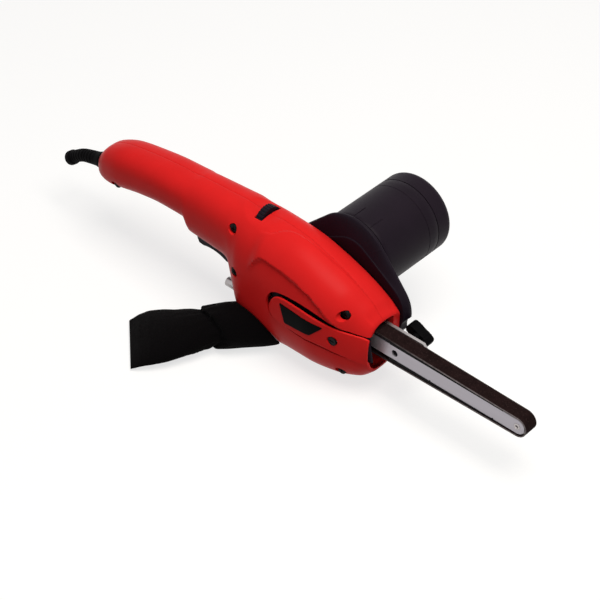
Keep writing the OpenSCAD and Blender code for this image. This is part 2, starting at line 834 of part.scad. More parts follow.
module ball_bearing(bore, od, w) {
    rotate_extrude() difference() {
        translate([bore / 2 + fit, 0])
            square([od / 2 - bore / 2 - fit, w]);
        for (z = [0, w])
            translate([(bore + od) / 4, z])
                square([(od - bore) / 4, 0.8], center = true);
    }
}
module front_bearing() {
    place() color("lightgray") on_motor(bracket_y)
        ball_bearing(shaft_d, front_bearing_od, front_bearing_w);
}
module rear_bearing() {
    place() color("lightgray") on_motor(rear_bearing_y)
        ball_bearing(shaft_d - 1, rear_bearing_od, rear_bearing_w);
}
module inner_drive_bearing() {
    place() color("lightgray") translate([0, plate_y, 0]) rotate([-90, 0, 0])
        ball_bearing(drive_d, drive_bearing_od, drive_bearing_w);
}
module outer_drive_bearing() {
    place() color("lightgray") translate([0, bracket_y, 0]) rotate([-90, 0, 0])
        ball_bearing(drive_d, drive_bearing_od, drive_bearing_w);
}
module motor_shaft() {
    place() color("lightsteelblue") {
        on_motor(gear_y)
            cylinder(d = shaft_d, h = rear_bearing_y - 2 - gear_y);
        on_motor(rear_bearing_y - 2)
            cylinder(d = shaft_d - 1, h = rear_bearing_w + 1.5);
    }
}
slot_count = 12;
module armature_core() {
    place() color("slategray") on_motor(stack_y) difference() {
        tube(shaft_d / 2, armature_r, stack_l);
        for (i = [0 : slot_count - 1])
            rotate(360 * i / slot_count) {
                translate([armature_r - 3, -0.7, -1])
                    cube([4, 1.4, stack_l + 2]);
                translate([0.73 * armature_r, 0, -1])
                    cylinder(r = 0.12 * armature_r, h = stack_l + 2);
            }
    }
}
winding_flat = armature_r - shaft_d / 2 - 2 - winding_l;
module armature_windings() {
    place() color("peru") for (y = [stack_y - winding_l, stack_y + stack_l])
        on_motor(y)
            rotate_extrude()
                translate([(armature_r + shaft_d / 2) / 2 - 0.6, winding_l / 2]) {
                    square([winding_flat, winding_l], center = true);
                    for (s = [-1, 1])
                        translate([s * winding_flat / 2, 0])
                            circle(d = winding_l);
                }
}
bar_count = 24;
module commutator() {
    place() color("chocolate") on_motor(commutator_y) difference() {
        tube(shaft_d / 2, commutator_r, commutator_l);
        for (i = [0 : bar_count - 1])
            rotate(360 * i / bar_count)
                translate([commutator_r - 1, -0.25, -1])
                    cube([3, 0.5, commutator_l + 2]);
    }
}
fan_r = barrel_d / 2 - barrel_wall - 4;
blade_count = 14;
module cooling_fan() {
    place() color("gray") on_motor(fan_y) {
        tube(shaft_d / 2, 8, fan_w);
        tube(7, fan_r, 1.6);
        for (i = [0 : blade_count - 1])
            rotate(360 * i / blade_count)
                translate([11, -0.7, 1])
                    rotate(12)
                        cube([fan_r - 12.5, 1.4, fan_w - 1]);
    }
}
module pinion() {
    place() color("silver") translate([motor_x, 0, motor_z]) difference() {
        between_y(gear_y, gear_y + gear_w)
            rotate(centre_angle + 180 + 180 / pinion_teeth)
                gear_outline(pinion_teeth);
        rod_y(0, 0, shaft_d / 2, gear_y - 1, gear_y + gear_w + 1);
    }
}
module driven_gear() {
    place() color("silver") difference() {
        union() {
            between_y(gear_y, gear_y + gear_w)
                rotate(centre_angle)
                    gear_outline(gear_teeth);
            rod_y(0, 0, drive_d / 2 + 3, gear_y - 2, gear_y + gear_w);
        }
        rod_y(0, 0, drive_d / 2, gear_y - 3, bracket_y + 1);
        for (i = [0 : 5])
            rotate([0, 60 * i + 30, 0])
                rod_y(13, 0, 3.4, gear_y - 1, gear_y + gear_w + 1);
    }
}
module drive_shaft() {
    place() color("lightsteelblue")
        rod_y(0, 0, drive_d / 2, -pulley_w / 2 - 1, bracket_y + drive_bearing_w);
}
pulley_w = belt_w + 1;
crown = 0.25;
module drive_pulley() {
    place() color("dimgray") rotate([90, 0, 0]) rotate_extrude() difference() {
        polygon([
            [drive_d / 2, -pulley_w / 2], [pulley_d / 2 - crown, -pulley_w / 2], [pulley_d / 2, -pulley_w / 4],
            [pulley_d / 2, pulley_w / 4], [pulley_d / 2 - crown, pulley_w / 2], [drive_d / 2, pulley_w / 2]
        ]);
        for (s = [-1, 1])
            translate([(pulley_d + drive_d) / 4, s * pulley_w / 2])
                square([2.6, 3], center = true);
    }
}

// Arm carrier: slides on its rails and the cover post, and holds the arm's pivot
inner_w = arm_w - 2 * arm_t;
inner_h = arm_h - 2 * arm_t;
lug_l = 17;
boss_l = 4;
carrier_front = 106;
carrier_rear = 32;
module arm_carrier() {
    place() color("silver") difference() {
        union() {
            between_y(carrier_y, carrier_out) {
                polygon([
                    [carrier_rear, carrier_low], [carrier_rear, carrier_top], [carrier_front - 6, carrier_top],
                    [carrier_front, 2], [carrier_front, -2], [carrier_front - 8, carrier_low]
                ]);
                translate([bar_x, rod_z - bar_h / 2])
                    square([bar_l, carrier_low - rod_z + bar_h / 2 + 1]);
            }
            block(bar_x, bar_x + bar_l, rod_y - 4, carrier_out, rod_z - bar_h / 2, rod_z + bar_h / 2);
            block(pivot_x - lug_l / 2, pivot_x + lug_l / 2, gap - inner_w / 2, carrier_y + 0.5,
                gap - inner_h / 2, inner_h / 2 - gap);
            rod_y(track_x, 0, track_d / 2 + 3, carrier_y, carrier_out + boss_l);
        }
        rod_z(pivot_x, 0, pivot_d / 2 + fit, -arm_h, arm_h);
        rod_y(track_x, 0, track_d / 2 + fit, carrier_y - 1, carrier_out + boss_l + 1);
        rod_x(rod_y, rod_z, rod_d / 2, bar_x - 1, bar_x + bar_l - 1);
        slot_r = cover_post_r + gap;
        rod_y(cover_post_x, cover_post_z, slot_r, carrier_y - 1, carrier_out + 1);
        rod_y(cover_post_x + arm_travel, cover_post_z, slot_r, carrier_y - 1, carrier_out + 1);
        block(cover_post_x, cover_post_x + arm_travel, carrier_y - 1, carrier_out + 1,
            cover_post_z - slot_r, cover_post_z + slot_r);
    }
}
module release_rod() {
    place() color("gainsboro") {
        rod_x(rod_y, rod_z, rod_d / 2, rod_d / 2 - rod_tip, bar_x + bar_l - 1);
        translate([rod_d / 2 - rod_tip, rod_y, rod_z])
            sphere(rod_d / 2);
    }
}
spring_wire = 0.6;
module tension_spring() {
    place() color("gray") translate([spring_seat_x + gap, rod_y, rod_z]) rotate([0, 90, 0])
        spring(rod_d / 2 + spring_wire + gap, spring_wire, bar_x - spring_seat_x - 2 * gap, 7);
}
module belt_arm() {
    place() color("silver") difference() {
        union() {
            block(arm_rear, tip_x, -arm_w / 2, arm_w / 2, -arm_h / 2, arm_h / 2);
            rod_y(tip_x, 0, arm_h / 2, -arm_w / 2, arm_w / 2);
        }
        block(arm_rear - 1, tip_x + arm_h, -inner_w / 2, inner_w / 2, -inner_h / 2, inner_h / 2);
        block(tip_x - tip_d / 2 - 1, tip_x + arm_h, -inner_w / 2, inner_w / 2, -arm_h, arm_h);
        block(pivot_x - lug_l / 2 - 1.2, pivot_x + lug_l / 2 + 1.2, 0, arm_w, -inner_h / 2, inner_h / 2);
        rod_z(pivot_x, 0, pivot_d / 2, -arm_h, arm_h);
        rod_y(track_x, 0, track_d / 2 + gap, -arm_w, arm_w);
        rod_y(tip_x, 0, tip_pin_d / 2, -arm_w, arm_w);
        for (x = notch_x)
            rod_y(x, -arm_h / 2, 0.9, -arm_w, -inner_w / 2 + 0.1);
    }
}
tip_pin_d = 4;
pin_head_t = 0.5;
notch_x = [118, 176];
platen_front = 13;
platen_rear = 79;
module platen_outline() {
    front = tip_x - platen_front;
    polygon([
        [platen_rear, arm_h / 2], [front, arm_h / 2],
        [front, loop_half(front) - gap], [platen_rear, loop_half(platen_rear) - gap]
    ]);
}
module upper_platen() {
    place() color("gray")
        between_y(-belt_w / 2 + 0.8, belt_w / 2 - 0.8)
            platen_outline();
}
module lower_platen() {
    place() color("gray")
        between_y(-belt_w / 2 + 0.8, belt_w / 2 - 0.8)
            mirror([0, 1])
                platen_outline();
}
module pivot_pin() {
    place() color("lightsteelblue")
        rod_z(pivot_x, 0, pivot_d / 2, -arm_h / 2, arm_h / 2);
}
module tip_pin() {
    place() color("lightsteelblue") {
        rod_y(tip_x, 0, tip_pin_d / 2, -arm_w / 2, arm_w / 2);
        for (y = [-arm_w / 2 - pin_head_t, arm_w / 2])
            rod_y(tip_x, 0, tip_pin_d / 2 + 0.7, y, y + pin_head_t);
    }
}
module tip_roller() {
    place() color("dimgray") difference() {
        rod_y(tip_x, 0, tip_d / 2, gap - inner_w / 2, inner_w / 2 - gap);
        rod_y(tip_x, 0, tip_pin_d / 2 + fit, -arm_w, arm_w);
    }
}
loop_steps = 40;
function loop_arc(x, r, a0, a1) = [
    for (i = [0 : loop_steps]) let (a = a0 + (a1 - a0) * i / loop_steps) [x + r * cos(a), r * sin(a)]
];
module loop_outline(g) {
    a = 90 - loop_angle;
    polygon(concat(loop_arc(0, loop_r0 + g, a, 360 - a), loop_arc(tip_x, loop_r1 + g, -a, a)));
}
module abrasive_belt() {
    place() color("#3a2420") between_y(-belt_w / 2, belt_w / 2) difference() {
        loop_outline(belt_t);
        loop_outline(0);
    }
}
knob_hub_l = 6;
knob_hub_r = 4.5;
knob_bore_l = 5;
knob_y = carrier_out + boss_l + gap + knob_hub_l;
knob_ribs = 16;
module tracking_knob() {
    place() color("#1b1b1d") translate([track_x, knob_y, 0]) rotate([-90, 0, 0]) difference() {
        rotate_extrude() difference() {
            union() {
                square([knob_d / 2, knob_t]);
                translate([0, -knob_hub_l])
                    square([knob_hub_r, knob_hub_l + 1]);
            }
            translate([knob_d / 2, knob_t])
                rotate(45)
                    square(1.6, center = true);
            translate([0, -knob_hub_l - 1])
                square([track_d / 2, knob_hub_l + 1 + knob_bore_l]);
        }
        for (i = [0 : knob_ribs - 1])
            rotate(360 * i / knob_ribs)
                translate([knob_d / 2 + 0.5, 0, -1])
                    cylinder(r = 1.1, h = knob_t + 2, $fn = 24);
    }
}
module tracking_screw() {
    place() color("gainsboro")
        rod_y(track_x, 0, track_d / 2, 0, knob_y + knob_bore_l);
}

// Controls in the handle
finger_r = 34;
module trigger() {
    front = trigger_l - trigger_rear;
    place() color("#1b1b1d") difference() {
        between_y(-trigger_w / 2, trigger_w / 2) difference() {
            polygon([
                [-trigger_rear, 1], [-trigger_rear, trigger_top - 1], [1 - trigger_rear, trigger_top],
                [front, trigger_top], [front, 0], [front - 2, -6], [front - 5, -6], [2 - trigger_rear, -3]
            ]);
            translate([front - trigger_l / 2 - 2, -finger_r - 2.2])
                circle(finger_r, $fn = 96);
        }
        rod_y(trigger_pin_x, trigger_pin_z, trigger_pin_d / 2 + fit, -trigger_w, trigger_w);
    }
}
module trigger_pin() {
    reach = side_y(1, trigger_pin_x, trigger_pin_z, 0) - 2 - gap;
    place() color("lightsteelblue")
        rod_y(trigger_pin_x, trigger_pin_z, trigger_pin_d / 2, -reach, reach);
}
trigger_spring_x = trigger_l - trigger_rear - 9;
module trigger_spring() {
    place() color("gray") translate([trigger_spring_x, 0, trigger_top + gap])
        spring(3.2, 0.45, switch_z0 - trigger_top - 2 * gap, 3);
}
module switch_body() {
    place() color("#2a2a2e") {
        block(switch_x0, switch_x1, -switch_w / 2, switch_w / 2, switch_z0, switch_z1);
        for (y = [-4, 4])
            block(switch_x0 - 5, switch_x0 + 1, y - 1.5, y + 1.5, switch_z1 - 8, switch_z1 - 5);
    }
}
module lock_button() {
    out = side_y(2, lock_x, lock_z, 0);
    place() color("#1b1b1d") {
        rod_y(lock_x, lock_z, lock_d / 2, out - 5, out + lock_travel);
        rod_y(lock_x, lock_z, lock_d / 2 - 2, switch_w / 2 + lock_travel + gap, out - 4);
    }
}
dial_notches = 24;
dial_axle_r = 2;
board_x = dial_x + dial_t / 2 + 6;
pot_t = 4;
module speed_dial() {
    place() color("#1b1b1d") translate([0, 0, dial_z]) {
        difference() {
            rod_x(0, 0, dial_d / 2, dial_x - dial_t / 2, dial_x + dial_t / 2);
            for (i = [0 : dial_notches - 1])
                rotate([360 * i / dial_notches, 0, 0])
                    rod_x(0, dial_d / 2 + 0.3, 0.9, dial_x - dial_t, dial_x + dial_t, $fn = 24);
        }
        rod_x(0, 0, dial_axle_r, dial_x, board_x - 0.5);
    }
}
board_w = 20;
board_low = 26;
module speed_board() {
    place() color("darkgreen") {
        difference() {
            union() {
                block(board_x, board_x + 1.6, -board_w / 2, board_w / 2, board_low, dial_z + 2);
                rod_x(0, dial_z - 1, 4, board_x - pot_t, board_x);
            }
            rod_x(0, dial_z, dial_axle_r + fit, board_x - pot_t - 1, board_x);
        }
        block(board_x + 1.6, board_x + 8, -6, 6, board_low + 3, board_low + 14);
    }
}
terminal_x = 47 - handle_rear;
terminal_w = 16;
module terminal_block() {
    z0 = max(floor_z(terminal_x, terminal_w / 2, -wall), floor_z(terminal_x + 18, terminal_w / 2, -wall)) + gap;
    place() color("ivory") difference() {
        block(terminal_x, terminal_x + 18, -terminal_w / 2, terminal_w / 2, z0, z0 + 11);
        for (y = [-4, 4])
            rod_x(y, z0 + 5, 1.6, terminal_x - 1, terminal_x + 19);
    }
}
clamp_x = 12 - handle_rear;
module cord_clamp() {
    z0 = max(floor_z(clamp_x, 8, -wall), floor_z(clamp_x + 8, 8, -wall)) + gap;
    place() color("#2a2a2e") difference() {
        block(clamp_x, clamp_x + 8, -8, 8, z0, z0 + 12);
        rod_x(0, z0 + 7, boot_bore / 2, clamp_x - 1, clamp_x + 9);
        for (y = [-6, 6])
            rod_z(clamp_x + 4, y, 1.2, z0 - 1, z0 + 13);
    }
}

// Rubber boot round the cord, with a ring at its tip
module cord_boot() {
    place() color("#161618") boot_axis() rotate_extrude() polygon([
        [boot_bore / 2, -5], [boot_d / 2, -5], [boot_d / 2, 4], [boot_tip_r, boot_l - 7],
        [boot_ring_r, boot_l - 6], [boot_ring_r, boot_l], [boot_bore / 2, boot_l]
    ]);
}
module dust_port() {
    place() color("#1b1b1d") difference() {
        port_axis() translate([0, 0, -port_in])
            tube(port_d / 2 - port_wall, port_d / 2, port_in + port_out);
        rod_x(rod_y, rod_z, rod_d / 2 + gap, -through, 0);
    }
}
bag_ring_w = 7;
bag_ring_r = port_d / 2 + 1.2;
module bag_ring() {
    place() color("#161618") port_axis() translate([0, 0, port_out - bag_ring_w - 1])
        tube(port_d / 2, bag_ring_r, bag_ring_w);
}
// The bag's neck goes over the ring and the port, up to the housing
module dust_bag() {
    place() color("#161618") difference() {
        bag_solid();
        body(port_x - 60, port_x + 20, bag_clear);
        port_axis()
            translate([0, 0, -port_in])
                cylinder(r = bag_ring_r + gap, h = port_in + port_out + gap);
    }
}
module bag_solid() {
    n = bag_points;
    last = len(bag_rings) - 1;
    polyhedron(
        [for (r = bag_rings) each r],
        concat(
            [[for (j = [0 : n - 1]) j]],
            [[for (j = [n - 1 : -1 : 0]) last * n + j]],
            [for (i = [0 : last - 1]) for (j = [0 : n - 1]) [i * n + j, (i + 1) * n + j, i * n + (j + 1) % n]],
            [for (i = [0 : last - 1]) for (j = [0 : n - 1])
                [(i + 1) * n + j, (i + 1) * n + (j + 1) % n, i * n + (j + 1) % n]]
        )
    );
}

right_housing();
left_housing();
belt_cover();
nameplate();
housing_screws();
cover_screw();
cover_post();
motor_housing();
motor_end_cap();
cap_screws();
bearing_bracket();
gear_plate();
stator_core();
field_windings();
brush_holders();
carbon_brushes();
front_bearing();
rear_bearing();
inner_drive_bearing();
outer_drive_bearing();
motor_shaft();
armature_core();
armature_windings();
commutator();
cooling_fan();
pinion();
drive_shaft();
driven_gear();
drive_pulley();
arm_carrier();
release_rod();
tension_spring();
belt_arm();
upper_platen();
lower_platen();
pivot_pin();
tip_pin();
tip_roller();
abrasive_belt();
tracking_knob();
tracking_screw();
trigger();
trigger_pin();
trigger_spring();
switch_body();
lock_button();
speed_dial();
speed_board();
terminal_block();
cord_clamp();
cord_boot();
dust_port();
bag_ring();
dust_bag();
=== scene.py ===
import json
import math

import bmesh
import bpy
import numpy as np
from mathutils import Matrix, Vector


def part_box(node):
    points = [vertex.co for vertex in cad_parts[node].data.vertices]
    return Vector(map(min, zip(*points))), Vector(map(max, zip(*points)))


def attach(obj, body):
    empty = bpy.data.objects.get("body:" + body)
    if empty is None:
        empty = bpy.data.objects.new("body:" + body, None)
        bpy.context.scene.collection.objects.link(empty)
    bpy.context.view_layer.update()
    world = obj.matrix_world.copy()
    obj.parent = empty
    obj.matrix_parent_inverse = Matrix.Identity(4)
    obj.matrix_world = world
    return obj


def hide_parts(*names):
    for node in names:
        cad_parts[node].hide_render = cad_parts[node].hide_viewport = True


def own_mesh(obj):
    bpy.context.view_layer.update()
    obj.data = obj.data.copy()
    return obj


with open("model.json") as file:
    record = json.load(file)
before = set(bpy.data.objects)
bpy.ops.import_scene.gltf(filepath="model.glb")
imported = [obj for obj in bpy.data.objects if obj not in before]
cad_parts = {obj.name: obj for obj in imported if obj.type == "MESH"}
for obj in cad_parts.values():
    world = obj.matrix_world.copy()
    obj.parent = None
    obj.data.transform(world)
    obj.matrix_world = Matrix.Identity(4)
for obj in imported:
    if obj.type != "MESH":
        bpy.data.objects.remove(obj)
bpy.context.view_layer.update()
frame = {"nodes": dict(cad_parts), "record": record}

nodes = frame["nodes"]
MM = 0.001
low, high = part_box("drive_pulley")
ORIGIN = np.array((low + high) / 2)  # middle of the drive pulley, about which all is drawn


def metres(points):
    """Points in millimetres about the drive pulley, as metres in the part's frame."""
    return np.asarray(points, float).reshape(-1, 3) * MM + ORIGIN


def smooth(t):
    """Eases from 0 to 1 as t does."""
    t = np.clip(t, 0, 1)
    return t * t * (3 - 2 * t)


# Materials

def new_material(name):
    """A material with its nodes, links and shader."""
    m = bpy.data.materials.new(name)
    m.use_nodes = True
    return m, m.node_tree.nodes, m.node_tree.links, m.node_tree.nodes["Principled BSDF"]


def add(tree, kind, **values):
    """A new node, with its properties or the values of its sockets."""
    n = tree.new(kind)
    for key, v in values.items():
        if hasattr(n, key):
            setattr(n, key, v)
        else:
            n.inputs[key].default_value = v
    return n


def mixed(tree, links, factor, below, colour):
    """A colour laid over another one by a factor."""
    mix = add(tree, "ShaderNodeMix", data_type="RGBA")
    links.new(factor, mix.inputs["Factor"])
    links.new(below, mix.inputs[6])
    mix.inputs[7].default_value = (*colour, 1)
    return mix.outputs[2]


def product(tree, links, first, second, **options):
    """One value times another."""
    both = add(tree, "ShaderNodeMath", operation="MULTIPLY", **options)
    links.new(first, both.inputs[0])
    links.new(second, both.inputs[1])
    return both.outputs["Value"]


def surface(name, colour, rough, grain, metal=0.0, vary=0.12, vary_scale=35.0, stretch=(1, 1, 1),
            rough_vary=0.08, specular=0.5, speckle=None):
    """A surface whose colour and gloss drift a little, with a fine grain in its relief.

    grain gives the relief's scale, strength and depth, speckle the scale, colour and threshold of lighter specks.
    """
    m, tree, links, bsdf = new_material(name)
    bsdf.inputs["Metallic"].default_value = metal
    bsdf.inputs["Specular IOR Level"].default_value = specular
    coords = add(tree, "ShaderNodeTexCoord")
    place = add(tree, "ShaderNodeMapping", Scale=stretch)
    links.new(coords.outputs["Object"], place.inputs["Vector"])
    drift = add(tree, "ShaderNodeTexNoise", Scale=vary_scale, Detail=4.0, Roughness=0.6)
    links.new(place.outputs["Vector"], drift.inputs["Vector"])
    ramp = add(tree, "ShaderNodeValToRGB")
    c = np.array(colour)
    ramp.color_ramp.elements[0].position = 0.3
    ramp.color_ramp.elements[0].color = (*np.clip(c * (1 - vary), 0, 1), 1)
    ramp.color_ramp.elements[1].position = 0.7
    ramp.color_ramp.elements[1].color = (*np.clip(c * (1 + vary), 0, 1), 1)
    links.new(drift.outputs["Fac"], ramp.inputs["Fac"])
    out = ramp.outputs["Color"]
    scale, strength, depth = grain
    fine = add(tree, "ShaderNodeTexNoise", Scale=scale, Detail=3.0, Roughness=0.7)
    links.new(place.outputs["Vector"], fine.inputs["Vector"])
    bump = add(tree, "ShaderNodeBump", Strength=strength, Distance=depth)
    links.new(fine.outputs["Fac"], bump.inputs["Height"])
    links.new(bump.outputs["Normal"], bsdf.inputs["Normal"])
    if speckle:
        scale, light_colour, threshold = speckle
        spots = add(tree, "ShaderNodeTexVoronoi", Scale=scale)
        links.new(place.outputs["Vector"], spots.inputs["Vector"])
        pick = add(tree, "ShaderNodeMapRange")
        pick.inputs["From Min"].default_value = threshold
        pick.inputs["From Max"].default_value = threshold + 0.12
        links.new(spots.outputs["Color"], pick.inputs["Value"])
        out = mixed(tree, links, pick.outputs["Result"], out, light_colour)
    links.new(out, bsdf.inputs["Base Color"])
    gloss = add(tree, "ShaderNodeMapRange")
    gloss.inputs["To Min"].default_value = max(0.02, rough - rough_vary)
    gloss.inputs["To Max"].default_value = min(1.0, rough + rough_vary)
    links.new(fine.outputs["Fac"], gloss.inputs["Value"])
    links.new(gloss.outputs["Result"], bsdf.inputs["Roughness"])
    return m


def woven(name, colour, pitch, turn):
    """Plain weave: threads over and under each other in two directions."""
    m, tree, links, bsdf = new_material(name)
    bsdf.inputs["Sheen Weight"].default_value = 0.01
    bsdf.inputs["Sheen Roughness"].default_value = 0.6
    bsdf.inputs["Specular IOR Level"].default_value = 0.03
    coords = add(tree, "ShaderNodeTexCoord")
    place = add(tree, "ShaderNodeMapping", Rotation=(0, 0, turn))
    links.new(coords.outputs["Object"], place.inputs["Vector"])
    threads = []
    for direction in ("X", "Y"):
        w = add(tree, "ShaderNodeTexWave", bands_direction=direction, Scale=0.314 / pitch, Distortion=0.6)
        w.inputs["Detail Scale"].default_value = 40.0
        links.new(place.outputs["Vector"], w.inputs["Vector"])
        threads.append(w.outputs["Fac"])
    drift = add(tree, "ShaderNodeTexNoise", Scale=45.0, Detail=5.0)
    links.new(coords.outputs["Object"], drift.inputs["Vector"])
    height = add(tree, "ShaderNodeMath", operation="ADD")
    links.new(product(tree, links, *threads), height.inputs[0])
    links.new(drift.outputs["Fac"], height.inputs[1])
    ramp = add(tree, "ShaderNodeValToRGB")
    c = np.array(colour)
    ramp.color_ramp.elements[0].color = (*(c * 0.55), 1)
    ramp.color_ramp.elements[1].color = (*(c * 1.3), 1)
    half = add(tree, "ShaderNodeMath", operation="MULTIPLY")
    half.inputs[1].default_value = 0.5
    links.new(height.outputs["Value"], half.inputs[0])
    links.new(half.outputs["Value"], ramp.inputs["Fac"])
    links.new(ramp.outputs["Color"], bsdf.inputs["Base Color"])
    bump = add(tree, "ShaderNodeBump", Strength=0.5, Distance=0.0004)
    links.new(height.outputs["Value"], bump.inputs["Height"])
    links.new(bump.outputs["Normal"], bsdf.inputs["Normal"])
    gloss = add(tree, "ShaderNodeMapRange")
    gloss.inputs["To Min"].default_value = 0.75
    gloss.inputs["To Max"].default_value = 0.95
    links.new(drift.outputs["Fac"], gloss.inputs["Value"])
    links.new(gloss.outputs["Result"], bsdf.inputs["Roughness"])
    return m


PORT_TURN = math.radians(227)  # the way that the dust port and its bag point
SURFACES = {
    "red_plastic": dict(colour=(0.76, 0.018, 0.018), rough=0.36, vary=0.04, grain=(2600, 0.08, 0.0002), specular=0.05),
    "nameplate": dict(colour=(0.002, 0.002, 0.002), rough=0.4, grain=(900, 0.05, 0.0002), specular=0.02),
    "black_plastic": dict(colour=(0.011, 0.0065, 0.012), rough=0.46, grain=(1900, 0.2, 0.0003), specular=0.07),
    "black_rubber": dict(colour=(0.0016, 0.0014, 0.0017), rough=0.6, grain=(1400, 0.2, 0.0003), specular=0.03),
    "arm_paint": dict(colour=(0.47, 0.445, 0.49), rough=0.38, metal=0.6, vary=0.10, grain=(700, 0.08, 0.0002),
                      stretch=(0.08, 1, 1), specular=0.3),
    "abrasive": dict(colour=(0.013, 0.0062, 0.0064), rough=0.9, vary=0.35, vary_scale=160, grain=(1500, 0.8, 0.0005),
                     speckle=(1800, (0.034, 0.020, 0.019), 0.78), specular=0.05),
    "steel": dict(colour=(0.46, 0.43, 0.43), rough=0.42, metal=1.0, grain=(900, 0.08, 0.0002), stretch=(0.1, 1, 1)),
    "chrome": dict(colour=(0.78, 0.78, 0.78), rough=0.10, metal=1.0, vary=0.04, rough_vary=0.04,
                   grain=(600, 0.02, 0.0002)),
    "screw_black": dict(colour=(0.004, 0.0035, 0.004), rough=0.5, metal=0.3, grain=(1200, 0.15, 0.0002), specular=0.08),
    "pulley_metal": dict(colour=(0.40, 0.40, 0.42), rough=0.36, metal=1.0, grain=(900, 0.1, 0.0002)),
    "lamination": dict(colour=(0.22, 0.23, 0.25), rough=0.5, metal=0.9, grain=(1300, 0.3, 0.0003),
                       stretch=(0.2, 3, 0.2)),
    "copper": dict(colour=(0.48, 0.19, 0.08), rough=0.35, metal=0.9, grain=(900, 0.4, 0.0004)),
    "brass": dict(colour=(0.60, 0.42, 0.15), rough=0.3, metal=1.0, grain=(800, 0.1, 0.0002)),
    "carbon": dict(colour=(0.05, 0.05, 0.055), rough=0.6, metal=0.3, grain=(2000, 0.3, 0.0002)),
    "circuit_board": dict(colour=(0.02, 0.16, 0.06), rough=0.35, grain=(700, 0.1, 0.0002)),
    "terminal_plastic": dict(colour=(0.66, 0.62, 0.50), rough=0.45, grain=(1500, 0.1, 0.0002)),
}
MATERIALS = {name: surface(name, **values) for name, values in SURFACES.items()}
MATERIALS["bag_cloth"] = woven("bag_cloth", (0.0022, 0.0017, 0.0021), 0.0009, -PORT_TURN)


def worn_edges(m, middle, half, width, begin, end, colour):
    """Lightens a material towards the two edges of a strip that runs along x, more so between two values of x."""
    tree, links = m.node_tree.nodes, m.node_tree.links
    bsdf = tree["Principled BSDF"]
    before = bsdf.inputs["Base Color"].links[0].from_socket
    coords = add(tree, "ShaderNodeTexCoord")
    split = add(tree, "ShaderNodeSeparateXYZ")
    links.new(coords.outputs["Object"], split.inputs["Vector"])
    off = add(tree, "ShaderNodeMath", operation="SUBTRACT")
    off.inputs[1].default_value = middle
    links.new(split.outputs["Y"], off.inputs[0])
    away = add(tree, "ShaderNodeMath", operation="ABSOLUTE")
    links.new(off.outputs["Value"], away.inputs[0])
    wear = add(tree, "ShaderNodeMapRange")
    wear.inputs["From Min"].default_value = half - width
    wear.inputs["From Max"].default_value = half
    links.new(away.outputs["Value"], wear.inputs["Value"])
    patch = add(tree, "ShaderNodeTexNoise", Scale=260.0, Detail=4.0)
    links.new(coords.outputs["Object"], patch.inputs["Vector"])
    onward = add(tree, "ShaderNodeMapRange")
    for name, v in (("From Min", begin), ("From Max", end), ("To Min", 0.1), ("To Max", 1.6)):
        onward.inputs[name].default_value = v
    links.new(split.outputs["X"], onward.inputs["Value"])
    both = product(tree, links, wear.outputs["Result"], patch.outputs["Fac"])
    all_three = product(tree, links, both, onward.outputs["Result"], use_clamp=True)
    links.new(mixed(tree, links, all_three, before, colour), bsdf.inputs["Base Color"])


BELT_HALF = 6.5
worn_edges(MATERIALS["abrasive"], middle=float(ORIGIN[1]), half=BELT_HALF * MM, width=0.7 * MM,
           begin=float(ORIGIN[0]) + 0.07, end=float(ORIGIN[0]) + 0.13, colour=(0.34, 0.30, 0.31))
SLOTS = {s["node"]: s["material_slot"] for s in frame["record"]["subparts"]}
for name, obj in nodes.items():
    obj.data.materials.clear()
    obj.data.materials.append(MATERIALS[SLOTS[name]])


# Mesh helpers

CRISP = 38  # edges sharper than this, in degrees, stay crisp where a piece gives no angle of its own


def shade(obj, angle):
    """Smooth faces, with edges sharper than the angle kept crisp."""
    bm = bmesh.new()
    bm.from_mesh(obj.data)
    limit = math.radians(angle)
    for f in bm.faces:
        f.smooth = True
    for e in bm.edges:
        e.smooth = len(e.link_faces) != 2 or e.calc_face_angle(0) < limit
    bm.to_mesh(obj.data)
    bm.free()


def mesh_object(name, points, faces, merge=0.0):
    """A mesh drawn in millimetres about the drive pulley, with its faces turned outwards."""
    mesh = bpy.data.meshes.new(name)
    mesh.from_pydata([tuple(p) for p in metres(points)], [], [tuple(int(i) for i in f) for f in faces])
    bm = bmesh.new()
    bm.from_mesh(mesh)
    if merge:
        bmesh.ops.remove_doubles(bm, verts=bm.verts, dist=merge * MM)
    bmesh.ops.recalc_face_normals(bm, faces=bm.faces)
    if bm.calc_volume(signed=True) < 0:
        bmesh.ops.reverse_faces(bm, faces=bm.faces)
    bm.to_mesh(mesh)
    bm.free()
    obj = bpy.data.objects.new(name, mesh)
    bpy.context.scene.collection.objects.link(obj)
    return obj


def piece(name, points, faces, body, slot, replaces=(), angle=CRISP, merge=0.0):
    """A visible piece that rides on a body."""
    obj = mesh_object(name, points, faces, merge)
    obj.data.materials.append(MATERIALS[slot])
    shade(obj, angle)
    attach(obj, body)
    if replaces:
        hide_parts(*replaces)
    return obj


def grid_faces(rows, columns, closed=True, start=0):
    """Quads over rows of points, closed round each row or open."""
    i, j = np.meshgrid(np.arange(rows - 1), np.arange(columns if closed else columns - 1), indexing="ij")
    k = (j + 1) % columns
    f = np.stack([i * columns + j, i * columns + k, (i + 1) * columns + k, (i + 1) * columns + j], -1)
    return (f.reshape(-1, 4) + start).tolist()


def cut(obj, cutters, angle=CRISP):
    """Cuts closed solids out of a piece."""
    for c in cutters:
        m = obj.modifiers.new("cut", "BOOLEAN")
        m.operation = "DIFFERENCE"
        m.solver = "EXACT"
        m.object = c
    shown = bpy.context.evaluated_depsgraph_get()
    made = bpy.data.meshes.new_from_object(obj.evaluated_get(shown))
    obj.modifiers.clear()
    old = obj.data
    obj.data = made
    bpy.data.meshes.remove(old)
    for c in cutters:
        bpy.data.objects.remove(c)
    shade(obj, angle)


